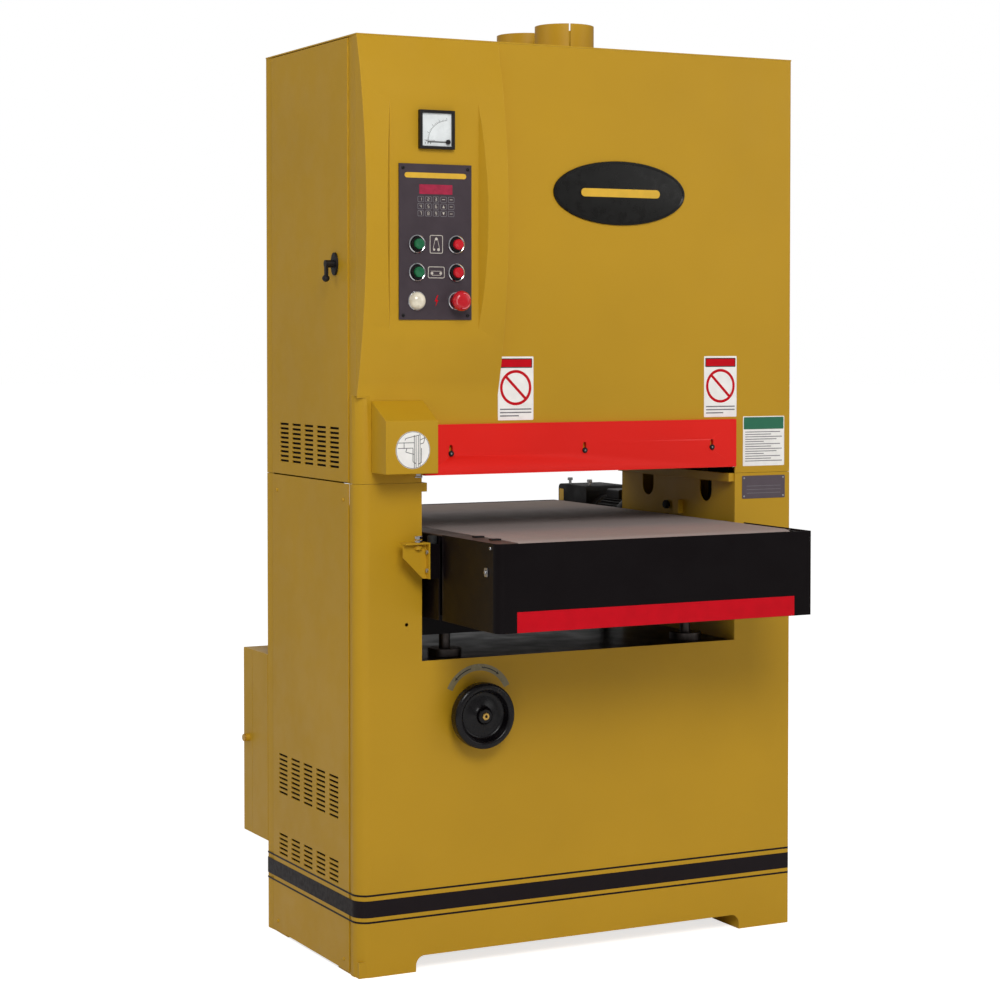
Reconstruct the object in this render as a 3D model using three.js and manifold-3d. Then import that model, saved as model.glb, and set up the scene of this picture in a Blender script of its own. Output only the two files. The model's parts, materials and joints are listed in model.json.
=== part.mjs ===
// Floor-standing wide-belt sander: a sheet-steel cabinet that carries a sanding head over a
// conveyor bed. Millimetres, +Z up, X to the operator's right, Y away from the operator.
// The origin lies on the floor, at the centre of the footprint.
import * as THREE from "three";
import { mergeVertices } from "three/addons/utils/BufferGeometryUtils.js";
import Module from "manifold-3d";

const wasm = await Module();
wasm.setup();

// ---------------------------------------------------------------- driving dimensions
const HALF_WIDTH = 533;
const HALF_DEPTH = 250;
const BODY_TOP = 1950;
const SEAM_Z = 1025;
const SHEET = 3;
const GAP = 0.3;
const LOOP_CLEARANCE = 1;
const FRONT_RETURN = 204;
const REAR_RETURN = 216;
const CORNER_RADIUS = 30;

const COLUMN_INNER = 386;
const SILL_Z = 652;
const FOOT_HEIGHT = 33;
const FOOT_INNER = 400;
const FOOT_DEPTH = 110;
const HEAD_UNDERSIDE = 1040;
const PAN_Z = 40;
const SIGHT_HOLE = [-421, 730];

const CONSOLE_RIGHT = -208;
const CONSOLE_BOTTOM = 1207;
const CONSOLE_BULGE = 50;
const RECESS_Y = -280;
const RECESS_LEFT = -472;
const RECESS_RIGHT = -269;
const RECESS_BOTTOM = 1343;
const RECESS_TOP = 1810;
const RECESS_FLARE = 14;

const PLATE_X = -369.5;
const PLATE_Z = 1524.5;
const PLATE_WIDTH = 166;
const PLATE_HEIGHT = 321;
const BUTTON_SPACING = 90;
const BUTTON_RADIUS = 11;
const BUTTON_ROWS = [1520, 1462];
const LAMP_ROW = 1403;
const BUTTON_X = -368;
const METER_Z = 1756;
const METER_SIZE = 80;

const TABLE_TOP = 920;
const BED_HALF_WIDTH = 372;
const BED_REACH = 568;
const BELT_LEFT = -311;
const BELT_RIGHT = 351;
const BELT_THICKNESS = 3;
const BED_ROLLER_RADIUS = 50;
const BED_ROLLER_Y = 500;
const BED_ROLLER_Z = TABLE_TOP - BELT_THICKNESS - LOOP_CLEARANCE - BED_ROLLER_RADIUS;
const BED_BOX_BOTTOM = 742;
const BED_FRAME_BOTTOM = 700;
const SHROUD_REAR = -312;

const LIFT_X = 300;
const LIFT_Y = 180;
const LIFT_SCREW_RADIUS = 12;
const NUT_RADIUS = 26;
const SPROCKET_RADIUS = 36;
const WHEEL_X = -261;
const WHEEL_Z = 534;
const WHEEL_RADIUS = 69.5;

const DRUM_RADIUS = 70;
const DRUM_Z = 1115.5;
const TENSION_RADIUS = 50;
const TENSION_Z = DRUM_Z + 573;
const SANDING_WIDTH = 635;
const MOTOR_Z = 190;
const MOTOR_PULLEY = 62;
const DRUM_PULLEY = 60;
const PULLEY_X = 460;
const PRESS_ROLLER_Y = 110;
const PRESS_ROLLER_Z = 1060;

// ---------------------------------------------------------------- materials
const material = (color, roughness, metalness) =>
  new THREE.MeshStandardMaterial({ color, roughness, metalness });

const mustardPaint = material(0xb89430, 0.45, 0.1);
const redPaint = material(0xd8281a, 0.4, 0.1);
const blackPaint = material(0x141214, 0.4, 0.2);
const steel = material(0x8a8c8e, 0.35, 0.9);
const castIron = material(0x4a4b4d, 0.6, 0.7);
const chrome = material(0xd0d2d4, 0.12, 1.0);
const beltRubber = material(0x7a706c, 0.85, 0.0);
const blackRubber = material(0x1a1a1b, 0.8, 0.0);
const abrasive = material(0x7a4a34, 0.95, 0.0);
const darkPlastic = material(0x1c191c, 0.5, 0.0);
const lampGlass = material(0xe6ecec, 0.15, 0.0);
const greenPlastic = material(0x0e7048, 0.35, 0.0);
const redPlastic = material(0xc8142a, 0.35, 0.0);

// ---------------------------------------------------------------- geometry helpers
const ALONG_X = new THREE.Matrix4().makeBasis(
  new THREE.Vector3(0, 1, 0), new THREE.Vector3(0, 0, 1), new THREE.Vector3(1, 0, 0));
const ALONG_MINUS_Y = new THREE.Matrix4().makeBasis(
  new THREE.Vector3(1, 0, 0), new THREE.Vector3(0, 0, 1), new THREE.Vector3(0, -1, 0));

function signedVolume(positions, triangles) {
  const a = new THREE.Vector3();
  const b = new THREE.Vector3();
  const c = new THREE.Vector3();
  let sum = 0;
  for (let i = 0; i < triangles.length; i += 3) {
    a.fromArray(positions, triangles[i] * 3);
    b.fromArray(positions, triangles[i + 1] * 3);
    c.fromArray(positions, triangles[i + 2] * 3);
    sum += a.dot(b.cross(c)) / 6;
  }
  return sum;
}

// A closed geometry as a manifold solid, whichever way its faces were wound.
function solid(source) {
  const bare = source.clone();
  bare.deleteAttribute("normal");
  bare.deleteAttribute("uv");
  const merged = mergeVertices(bare, 1e-4);
  const index = merged.index.array;
  const triangles = [];
  for (let i = 0; i < index.length; i += 3) {
    const [p, q, r] = [index[i], index[i + 1], index[i + 2]];
    if (p !== q && q !== r && r !== p) triangles.push(p, q, r);
  }
  const positions = merged.attributes.position.array;
  if (signedVolume(positions, triangles) < 0) triangles.reverse();
  return new wasm.Manifold(new wasm.Mesh({
    numProp: 3,
    vertProperties: new Float32Array(positions),
    triVerts: new Uint32Array(triangles),
  }));
}

function geometryOf(body) {
  const mesh = body.getMesh();
  const geometry = new THREE.BufferGeometry();
  geometry.setAttribute("position", new THREE.BufferAttribute(mesh.vertProperties, 3));
  geometry.setIndex(new THREE.BufferAttribute(mesh.triVerts, 1));
  const flat = geometry.toNonIndexed();
  flat.computeVertexNormals();
  return flat;
}

const joined = (...bodies) => bodies.reduce((whole, body) => whole.add(body));
const cutBy = (body, ...tools) => tools.reduce((rest, tool) => rest.subtract(tool), body);

// An upright block given by its low and high corner along each axis.
function block(x0, x1, y0, y1, z0, z1) {
  const geometry = new THREE.BoxGeometry(x1 - x0, y1 - y0, z1 - z0);
  return solid(geometry.translate((x0 + x1) / 2, (y0 + y1) / 2, (z0 + z1) / 2));
}

function extruded(shape, depth, curveSegments = 3) {
  return new THREE.ExtrudeGeometry(shape, { depth, bevelEnabled: false, curveSegments });
}

// A plan outline in X and Y, raised from z0 to z1.
const risen = (shape, z0, z1, curves) => solid(extruded(shape, z1 - z0, curves).translate(0, 0, z0));

// A side outline in Y and Z, drawn out from x0 to x1.
const sideways = (shape, x0, x1, curves) =>
  solid(extruded(shape, x1 - x0, curves).applyMatrix4(ALONG_X).translate(x0, 0, 0));

// A front outline in X and Z, drawn out from y0 back to y1.
const backwards = (shape, y0, y1, curves) =>
  solid(extruded(shape, y1 - y0, curves).applyMatrix4(ALONG_MINUS_Y).translate(0, y1, 0));

// A profile of [radius, height] points turned about its own axis, then laid along X, Y or Z.
function turned(profile, axis, centre, segments = 20) {
  const points = profile.map(([radius, height]) => new THREE.Vector2(radius, height));
  const geometry = new THREE.LatheGeometry(points, segments);
  if (axis === "x") geometry.rotateZ(-Math.PI / 2);
  if (axis === "z") geometry.rotateX(Math.PI / 2);
  return solid(geometry.translate(...centre));
}

// A plain cylinder from one station to another along an axis.
function rod(radius, from, to, axis, centre, segments = 16) {
  return turned([[0, from], [radius, from], [radius, to], [0, to]], axis, centre, segments);
}

// A ring with a square section, from one station to another along an axis.
function ring(inner, outer, from, to, axis, centre, segments = 20) {
  const section = [[inner, from], [outer, from], [outer, to], [inner, to], [inner, from]];
  return turned(section, axis, centre, segments);
}

function outline(points) {
  const shape = new THREE.Shape();
  shape.moveTo(...points[0]);
  points.slice(1).forEach((point) => shape.lineTo(...point));
  shape.closePath();
  return shape;
}

function rectangle(x0, x1, y0, y1) {
  return outline([[x0, y0], [x1, y0], [x1, y1], [x0, y1]]);
}

function rectangleHole(x0, x1, y0, y1) {
  const hole = new THREE.Path();
  hole.moveTo(x0, y0);
  hole.lineTo(x0, y1);
  hole.lineTo(x1, y1);
  hole.lineTo(x1, y0);
  hole.closePath();
  return hole;
}

// The closed band round two pulleys, one above the other: centres at z0 and z1, radii r0 and r1.
function pulleyLoop(path, z0, r0, z1, r1) {
  const lean = Math.asin((r0 - r1) / (z1 - z0));
  path.absarc(0, z1, r1, lean, Math.PI - lean, false);
  path.absarc(0, z0, r0, Math.PI - lean, 2 * Math.PI + lean, false);
  path.closePath();
  return path;
}

function roundedPath(path, x0, x1, y0, y1, radius) {
  path.absarc(x1 - radius, y1 - radius, radius, 0, Math.PI / 2, false);
  path.absarc(x0 + radius, y1 - radius, radius, Math.PI / 2, Math.PI, false);
  path.absarc(x0 + radius, y0 + radius, radius, Math.PI, 1.5 * Math.PI, false);
  path.absarc(x1 - radius, y0 + radius, radius, 1.5 * Math.PI, 2 * Math.PI, false);
  path.closePath();
  return path;
}

const sander = new THREE.Group();

function place(name, body, finish) {
  const mesh = new THREE.Mesh(geometryOf(body), finish);
  mesh.name = name;
  sander.add(mesh);
}

// ---------------------------------------------------------------- cabinet sheets
// The plan of a front sheet that turns back along both sides of the cabinet as far as returnY.
function wrapPlan(returnY, leftRadius, rightRadius) {
  const plan = new THREE.Shape();
  const innerLeft = Math.max(leftRadius - SHEET, 0.5);
  const innerRight = Math.max(rightRadius - SHEET, 0.5);
  const inX = HALF_WIDTH - SHEET;
  const inY = HALF_DEPTH - SHEET;
  plan.moveTo(-HALF_WIDTH, -returnY);
  plan.absarc(-HALF_WIDTH + leftRadius, -HALF_DEPTH + leftRadius, leftRadius,
    Math.PI, 1.5 * Math.PI, false);
  plan.absarc(HALF_WIDTH - rightRadius, -HALF_DEPTH + rightRadius, rightRadius,
    1.5 * Math.PI, 2 * Math.PI, false);
  plan.lineTo(HALF_WIDTH, -returnY);
  plan.lineTo(inX, -returnY);
  plan.absarc(inX - innerRight, -inY + innerRight, innerRight, 2 * Math.PI, 1.5 * Math.PI, true);
  plan.absarc(-inX + innerLeft, -inY + innerLeft, innerLeft, 1.5 * Math.PI, Math.PI, true);
  plan.lineTo(-inX, -returnY);
  plan.closePath();
  return plan;
}

const mirroredBack = (body) => {
  const geometry = geometryOf(body);
  return solid(geometry.scale(1, -1, 1));
};

// The front sheet of the lower cabinet with its two feet: open above the sill and under the base.
function lowerSheet(returnY, leftRadius) {
  const walls = risen(wrapPlan(returnY, leftRadius, SHEET), 0, SEAM_Z - GAP);
  const inX = HALF_WIDTH - SHEET - GAP;
  const inY = HALF_DEPTH - SHEET + 1;
  const feet = [-1, 1].map((side) => {
    const x0 = Math.min(side * FOOT_INNER, side * inX);
    const x1 = Math.max(side * FOOT_INNER, side * inX);
    return block(x0, x1, -inY, -HALF_DEPTH + FOOT_DEPTH, 0, FOOT_HEIGHT);
  });
  const bay = block(-COLUMN_INNER, COLUMN_INNER, -HALF_DEPTH - 9, -HALF_DEPTH + 9,
    SILL_Z, SEAM_Z + 9);
  const arch = roundedPath(new THREE.Shape(), -FOOT_INNER, FOOT_INNER, -30, FOOT_HEIGHT, 20);
  const archTool = backwards(arch, -HALF_DEPTH - 9, -HALF_DEPTH + SHEET + 0.5, 4);
  return joined(cutBy(walls, bay, archTool), ...feet);
}

function addLowerCabinet() {
  const shaftHole = rod(12, -12, 12, "y", [WHEEL_X, -HALF_DEPTH, WHEEL_Z], 20);
  const sightHole = rod(4, -12, 12, "y", [SIGHT_HOLE[0], -HALF_DEPTH, SIGHT_HOLE[1]], 12);
  place("lower_front_panel", cutBy(lowerSheet(FRONT_RETURN, CORNER_RADIUS), shaftHole, sightHole),
    mustardPaint);
  place("lower_rear_panel", mirroredBack(lowerSheet(REAR_RETURN, SHEET)), mustardPaint);
  const inX = HALF_WIDTH - SHEET - GAP;
  const inY = HALF_DEPTH - SHEET - GAP;
  const pan = outline([
    [-inX, -inY + CORNER_RADIUS], [-inX + CORNER_RADIUS, -inY],
    [inX, -inY], [inX, inY], [-inX, inY],
  ]);
  place("base_pan", risen(pan, PAN_Z, PAN_Z + 6), mustardPaint);
}

const LINER_SLOT_Y = [-128, 128];
const LINER_SLOT_RADIUS = 25;
const LINER_SLOT_Z = [955, 1003];
const FLANGE_BOTTOM = 1006;
const FLANGE_WIDTH = 14;

// The inner wall of a column, with two round-ended slots and a flange along its top edge.
function columnLiner(side) {
  const inY = HALF_DEPTH - SHEET - GAP;
  const wall = rectangle(-inY, inY, SILL_Z - 52, SEAM_Z - GAP);
  for (const centreY of LINER_SLOT_Y) {
    const slot = new THREE.Path();
    slot.moveTo(centreY - LINER_SLOT_RADIUS, LINER_SLOT_Z[1]);
    slot.lineTo(centreY + LINER_SLOT_RADIUS, LINER_SLOT_Z[1]);
    slot.absarc(centreY, LINER_SLOT_Z[0] + LINER_SLOT_RADIUS, LINER_SLOT_RADIUS, 0, -Math.PI, true);
    slot.closePath();
    wall.holes.push(slot);
  }
  const outer = side * COLUMN_INNER;
  const wallX = [outer, outer + side * SHEET].sort((a, b) => a - b);
  const flangeX = [outer - side * FLANGE_WIDTH, outer + side].sort((a, b) => a - b);
  const plate = sideways(wall, ...wallX, 4);
  return plate.add(block(...flangeX, -inY, inY, FLANGE_BOTTOM, SEAM_Z - GAP));
}

function addColumnsAndDeck() {
  place("left_column_liner", columnLiner(-1), mustardPaint);
  place("right_column_liner", columnLiner(1), mustardPaint);
  const inX = COLUMN_INNER - GAP;
  const inY = HALF_DEPTH - SHEET - GAP;
  const deck = rectangle(-inX, inX, -inY, inY);
  for (const x of [-LIFT_X, LIFT_X]) {
    for (const y of [-LIFT_Y, LIFT_Y]) {
      const hole = new THREE.Path();
      hole.absarc(x, y, NUT_RADIUS + 1.2, 0, 2 * Math.PI, true);
      deck.holes.push(hole);
    }
  }
  place("sill_deck", risen(deck, SILL_Z - 8, SILL_Z - 1, 8), blackPaint);
}

// ---------------------------------------------------------------- side panels and doors
const SLOT_LENGTH = 49;
const SLOT_HEIGHT = 5;

// A flat side plate with banks of level ventilation slots cut through it.
function louveredPlate(x0, x1, y0, y1, z0, z1, banks) {
  const slots = [];
  for (const bank of banks) {
    for (let column = 0; column < bank.columns; column += 1) {
      for (let row = 0; row < bank.rows; row += 1) {
        const y = bank.y + column * bank.pitchY;
        const z = bank.z + row * bank.pitchZ;
        slots.push(block(x0 - 1, x1 + 1, y, y + SLOT_LENGTH, z, z + SLOT_HEIGHT));
      }
    }
  }
  return cutBy(block(x0, x1, y0, y1, z0, z1), ...slots);
}

const LOWER_BANKS = [
  { columns: 5, rows: 9, y: -149, z: 316, pitchY: 70.5, pitchZ: 10.45 },
  { columns: 5, rows: 5, y: -149, z: 180, pitchY: 70.5, pitchZ: 10.45 },
];
const HEAD_BANKS = [
  { columns: 5, rows: 9, y: -156, z: 1054, pitchY: 69.25, pitchZ: 10.1 },
];
const PANEL_FRONT = -FRONT_RETURN + 0.5;
const PANEL_REAR = REAR_RETURN - 0.5;

const outside = (side) =>
  (side < 0 ? [-HALF_WIDTH, -HALF_WIDTH + SHEET] : [HALF_WIDTH - SHEET, HALF_WIDTH]);

function addSidePanel(name, side, banks) {
  const [x0, x1] = outside(side);
  place(name, louveredPlate(x0, x1, PANEL_FRONT, PANEL_REAR, 5, SEAM_Z - 1, banks), mustardPaint);
}

const LATCH_Y = -141;
const LATCH_Z = 1481;

// A head door is a shallow pan: a face, slotted or plain, with a flange turned in round its edge.
function headDoor(side, banks) {
  const z0 = SEAM_Z + 2;
  const z1 = BODY_TOP - 5;
  const [x0, x1] = outside(side);
  const face = louveredPlate(x0, x1, PANEL_FRONT, PANEL_REAR, z0, z1, banks);
  const latchHole = rod(8.4, x0 - 9, x1 + 9, "x", [0, LATCH_Y, LATCH_Z]);
  const rimX = side < 0 ? [x1 - 0.5, x1 + 12] : [x0 - 12, x0 + 0.5];
  const inside = block(rimX[0] - 1, rimX[1] + 1, PANEL_FRONT + SHEET, PANEL_REAR - SHEET,
    z0 + SHEET, z1 - SHEET);
  const rim = cutBy(block(...rimX, PANEL_FRONT, PANEL_REAR, z0, z1), inside);
  return cutBy(joined(face, rim), latchHole);
}

// A quarter-turn latch: oval escutcheon, spindle through the door, lever outside, pawl inside.
function doorLatch(side) {
  const out = (distance) => side * (HALF_WIDTH + distance);
  const span = (a, b) => [out(a), out(b)].sort((p, q) => p - q);
  const oval = new THREE.Shape();
  oval.absellipse(LATCH_Y, LATCH_Z, 15, 24, 0, 2 * Math.PI, false);
  const [spindle0, spindle1] = span(-26, 24);
  const lever = outline([
    [LATCH_Y - 5, LATCH_Z + 4], [LATCH_Y + 5, LATCH_Z + 4],
    [LATCH_Y + 4, LATCH_Z - 30], [LATCH_Y - 4, LATCH_Z - 30],
  ]);
  const pawl = rectangle(LATCH_Y - 8, LATCH_Y + 8, LATCH_Z - 8, LATCH_Z + 34);
  const ballProfile = [];
  for (let step = 0; step <= 6; step += 1) {
    const angle = -Math.PI / 2 + (step * Math.PI) / 6;
    ballProfile.push([Math.max(8 * Math.cos(angle), 0), 8 * Math.sin(angle)]);
  }
  const ball = turned(ballProfile, "x", [out(22), LATCH_Y, LATCH_Z - 30], 10);
  return joined(
    sideways(oval, ...span(GAP, 5), 8),
    rod(8, spindle0, spindle1, "x", [0, LATCH_Y, LATCH_Z]),
    sideways(lever, ...span(18, 24)),
    ball,
    sideways(pawl, ...span(-26, -20)),
  );
}

function addSides() {
  addSidePanel("left_side_panel", -1, LOWER_BANKS);
  addSidePanel("right_side_panel", 1, []);
  place("left_head_door", headDoor(-1, HEAD_BANKS), mustardPaint);
  place("left_door_latch", doorLatch(-1), blackPaint);
  place("right_head_door", headDoor(1, []), mustardPaint);
  place("right_door_latch", doorLatch(1), blackPaint);
}

// ---------------------------------------------------------------- head covers
// The bowed face of the console, in Y and Z: an arc of the given inset behind a flat back.
function consoleProfile(inset, backY) {
  const halfHeight = (BODY_TOP - CONSOLE_BOTTOM) / 2;
  const radius = (halfHeight ** 2 + CONSOLE_BULGE ** 2) / (2 * CONSOLE_BULGE);
  const centreY = -HALF_DEPTH - CONSOLE_BULGE + radius;
  const centreZ = CONSOLE_BOTTOM + halfHeight;
  const reach = Math.acos((centreY - backY) / (radius - inset));
  const profile = new THREE.Shape();
  profile.absarc(centreY, centreZ, radius - inset, Math.PI - reach, Math.PI + reach, false);
  profile.closePath();
  return profile;
}

// The tool that sinks the flat panel recess into the console, with flared side walls.
function recessTool(inset) {
  const plan = outline([
    [RECESS_LEFT - inset, RECESS_Y + inset],
    [RECESS_LEFT - inset - 2 * RECESS_FLARE, RECESS_Y + inset - 40],
    [RECESS_RIGHT + inset + 2 * RECESS_FLARE, RECESS_Y + inset - 40],
    [RECESS_RIGHT + inset, RECESS_Y + inset],
  ]);
  return risen(plan, RECESS_BOTTOM - 60, RECESS_TOP + 60);
}

function headFrontCover() {
  const top = BODY_TOP - SHEET - GAP;
  const bottom = SEAM_Z + 0.5;
  const lower = risen(wrapPlan(FRONT_RETURN, CORNER_RADIUS, SHEET), bottom, CONSOLE_BOTTOM + 1);
  const upper = risen(wrapPlan(FRONT_RETURN, SHEET, SHEET), CONSOLE_BOTTOM, top);
  const shell = sideways(consoleProfile(0, -HALF_DEPTH + 1), -HALF_WIDTH, CONSOLE_RIGHT, 10);
  const trimmed = cutBy(shell, recessTool(0), block(-HALF_WIDTH - 9, 0, -400, 0, top, top + 50));
  const hollow = sideways(consoleProfile(SHEET, -HALF_DEPTH + 12), -HALF_WIDTH + SHEET,
    CONSOLE_RIGHT - SHEET, 5);
  const inside = cutBy(hollow, recessTool(SHEET),
    block(-HALF_WIDTH - 9, 0, -400, 0, top - 8, top + 80),
    block(-HALF_WIDTH - 9, 0, -400, 0, CONSOLE_BOTTOM - 80, CONSOLE_BOTTOM + 8));
  const bay = block(-COLUMN_INNER, COLUMN_INNER, -HALF_DEPTH - 9, -HALF_DEPTH + 9,
    bottom - 9, HEAD_UNDERSIDE);
  const window = block(PLATE_X - 70, PLATE_X + 70, RECESS_Y - 9, RECESS_Y + 9,
    PLATE_Z - 148, PLATE_Z + 148);
  const meterHole = rod(34, -9, 9, "y", [BUTTON_X, RECESS_Y, METER_Z], 16);
  return cutBy(joined(lower, upper, trimmed), inside, bay, window, meterHole);
}

function headRearCover() {
  const top = BODY_TOP - SHEET - GAP;
  const bottom = SEAM_Z + 0.5;
  const walls = risen(wrapPlan(REAR_RETURN, SHEET, SHEET), bottom, top);
  const bay = block(-COLUMN_INNER, COLUMN_INNER, -HALF_DEPTH - 9, -HALF_DEPTH + 9,
    bottom - 9, HEAD_UNDERSIDE);
  return mirroredBack(cutBy(walls, bay));
}

const DUCT_X = 28;
const DUCT_Y = [-110, 73];
const DUCT_RADIUS = 65;

function addHeadCovers() {
  place("head_front_cover", headFrontCover(), mustardPaint);
  place("head_rear_cover", headRearCover(), mustardPaint);
  const lid = rectangle(-HALF_WIDTH, HALF_WIDTH, -HALF_DEPTH, HALF_DEPTH);
  for (const y of DUCT_Y) {
    const hole = new THREE.Path();
    hole.absarc(DUCT_X, y, DUCT_RADIUS - SHEET, 0, 2 * Math.PI, true);
    lid.holes.push(hole);
  }
  place("head_top_cover", risen(lid, BODY_TOP - SHEET, BODY_TOP, 16), mustardPaint);
  ["dust_port_front", "dust_port_rear"].forEach((name, index) => {
    const collar = ring(DUCT_RADIUS - SHEET, DUCT_RADIUS, BODY_TOP + GAP, BODY_TOP + 60, "z",
      [DUCT_X, DUCT_Y[index], 0], 32);
    place(name, collar, mustardPaint);
  });
}

// ---------------------------------------------------------------- front fittings
const STRIP_SCREWS = [-323, -3, 319];
const GAUGE_X = -413;
const GAUGE_Y = -290;

function addFrontFittings() {
  const strip = rectangle(-382.7, 383.5, HEAD_UNDERSIDE, 1146);
  for (const x of STRIP_SCREWS) {
    strip.holes.push(roundedPath(new THREE.Path(), x - 4, x + 4, 1079, 1103, 3.9));
  }
  place("red_guard_strip", backwards(strip, -HALF_DEPTH - 10, -HALF_DEPTH - GAP, 1), redPaint);

  const back = -HALF_DEPTH - GAP;
  const nose = outline([[back, 1048], [-324, 1048], [-324, 1157], [back, 1198]]);
  const plungerBore = rod(6.3, 1040, 1125, "z", [GAUGE_X, GAUGE_Y, 0]);
  place("gauge_housing", cutBy(sideways(nose, -501, -383), plungerBore), mustardPaint);
  const plunger = [[0, 1038], [9, 1038], [9, 1042], [6, 1042], [6, 1112], [0, 1112]];
  place("gauge_plunger", turned(plunger, "z", [GAUGE_X, GAUGE_Y, 0], 16), chrome);
}

// ---------------------------------------------------------------- control panel
function addControls() {
  const halfW = PLATE_WIDTH / 2;
  const halfH = PLATE_HEIGHT / 2;
  const plate = rectangle(PLATE_X - halfW, PLATE_X + halfW, PLATE_Z - halfH, PLATE_Z + halfH);
  const half = BUTTON_SPACING / 2;
  const stations = BUTTON_ROWS.flatMap((z) => [[BUTTON_X - half, z], [BUTTON_X + half, z]]);
  stations.push([BUTTON_X + half, LAMP_ROW]);
  for (const [x, z] of stations) {
    const hole = new THREE.Path();
    hole.absarc(x, z, BUTTON_RADIUS + 0.5, 0, 2 * Math.PI, true);
    plate.holes.push(hole);
  }
  const plateY = RECESS_Y - GAP;
  place("control_plate", backwards(plate, plateY - SHEET, plateY, 8), darkPlastic);

  const names = ["sander_start_button", "sander_stop_button", "feed_start_button", "feed_stop_button"];
  names.forEach((name, index) => {
    const [x, z] = stations[index];
    const cap = [[0, -300], [BUTTON_RADIUS - 1.5, -300], [BUTTON_RADIUS, -298.5],
      [BUTTON_RADIUS, -268], [0, -268]];
    place(name, turned(cap, "y", [x, 0, z], 20), index % 2 ? redPlastic : greenPlastic);
  });
  const mushroom = [
    [0, -322], [14, -320.6], [19, -316.5], [21, -311], [21, -308], [18, -306.5], [10.5, -306],
    [10.5, -268], [0, -268],
  ];
  place("emergency_stop_button", turned(mushroom, "y", [BUTTON_X + half, 0, LAMP_ROW], 24), redPlastic);
  const dome = [[0, -300], [9, -298], [15, -294], [18, -289], [18, plateY - SHEET - GAP],
    [0, plateY - SHEET - GAP]];
  place("pilot_lamp", turned(dome, "y", [BUTTON_X - half, 0, LAMP_ROW], 20), lampGlass);
}

function addMeter() {
  const half = METER_SIZE / 2;
  const face = RECESS_Y - 11;
  const back = RECESS_Y - GAP;
  const body = block(BUTTON_X - half, BUTTON_X + half, face, back, METER_Z - half, METER_Z + half);
  const rim = half - 6;
  const dial = block(BUTTON_X - rim, BUTTON_X + rim, face - 9, face + 6, METER_Z - rim, METER_Z + rim);
  place("ammeter_housing", cutBy(body, dial), darkPlastic);
  const pivotX = BUTTON_X + 25;
  const pivotZ = METER_Z - 25;
  const hub = rod(4, face + 1.5, face + 5.5, "y", [pivotX, 0, pivotZ], 12);
  const pointer = block(pivotX - 46, pivotX, face + 3, face + 4.5, pivotZ - 0.8, pivotZ + 0.8);
  place("meter_needle", joined(hub, pointer), blackPaint);
}

// ---------------------------------------------------------------- conveyor bed
const SIDE_PLATE_LEFT = [-328, -316];
const SIDE_PLATE_RIGHT = [356, 368];
const BED_FRONT = -548;
const STOP_TRAVEL = 8;
const BRACKET_X = [-447, -391];
const BRACKET_Z = [829, 904];

// A slab over two side plates and two beams. Its front corners are cut off, to clear the stop panel
// when that is pushed in.
function bedFrame() {
  const slabTop = TABLE_TOP - BELT_THICKNESS - GAP;
  const edge = BED_HALF_WIDTH - SHEET - 1;
  const cornerY = BED_FRONT + STOP_TRAVEL;
  const slab = outline([
    [-edge, cornerY], [-edge + STOP_TRAVEL, BED_FRONT], [edge - STOP_TRAVEL, BED_FRONT],
    [edge, cornerY], [edge, BED_REACH], [-edge, BED_REACH],
  ]);
  const windowX = [SIDE_PLATE_LEFT[1], SIDE_PLATE_RIGHT[0]];
  slab.holes.push(rectangleHole(...windowX, cornerY + 2, -440));
  slab.holes.push(rectangleHole(...windowX, 440, 558));
  const sides = [SIDE_PLATE_LEFT, SIDE_PLATE_RIGHT].map(([x0, x1]) =>
    block(x0, x1, cornerY, BED_REACH, BED_BOX_BOTTOM, slabTop - 1));
  const skirts = [-1, 1].map((side) => {
    const x = [side * (edge + 3), side * edge].sort((a, b) => a - b);
    return block(x[0], x[1], SHROUD_REAR + 12, BED_REACH, BED_BOX_BOTTOM, slabTop);
  });
  const beams = [-LIFT_Y, LIFT_Y].map((y) =>
    block(-edge - 1, edge + 1, y - 22, y + 22, BED_FRAME_BOTTOM, BED_BOX_BOTTOM + 1));
  const frontLip = block(windowX[0] - 1, windowX[1] + 1, BED_FRONT, BED_FRONT + 11,
    slabTop - 130, slabTop - 110);
  const bracketPad = block(BRACKET_X[1], -edge, SHROUD_REAR + 12, -276, BRACKET_Z[0], BRACKET_Z[1] - 4);
  const body = joined(risen(slab, slabTop - 10, slabTop), ...sides, ...skirts, ...beams,
    frontLip, bracketPad);
  const frontWindow = block(...windowX, -570, -440, slabTop - 60, slabTop + 9);
  const axleBores = [-BED_ROLLER_Y, BED_ROLLER_Y].map((y) =>
    rod(12.3, -345, 385, "x", [0, y, BED_ROLLER_Z]));
  return cutBy(body, frontWindow, ...axleBores);
}

function conveyorBelt() {
  const band = new THREE.Shape();
  const inner = new THREE.Path();
  const innerRadius = BED_ROLLER_RADIUS + LOOP_CLEARANCE;
  for (const [path, radius] of [[band, innerRadius + BELT_THICKNESS], [inner, innerRadius]]) {
    path.absarc(BED_ROLLER_Y, BED_ROLLER_Z, radius, -Math.PI / 2, Math.PI / 2, false);
    path.absarc(-BED_ROLLER_Y, BED_ROLLER_Z, radius, Math.PI / 2, 1.5 * Math.PI, false);
    path.closePath();
  }
  band.holes.push(inner);
  return sideways(band, BELT_LEFT, BELT_RIGHT, 7);
}

function bedRoller(y, shaftRight) {
  const left = BELT_LEFT + 1;
  const right = BELT_RIGHT - 1;
  const profile = [[0, -334], [12, -334], [12, left], [BED_ROLLER_RADIUS, left],
    [BED_ROLLER_RADIUS, right], [12, right], [12, shaftRight], [0, shaftRight]];
  return turned(profile, "x", [0, y, BED_ROLLER_Z]);
}

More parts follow.
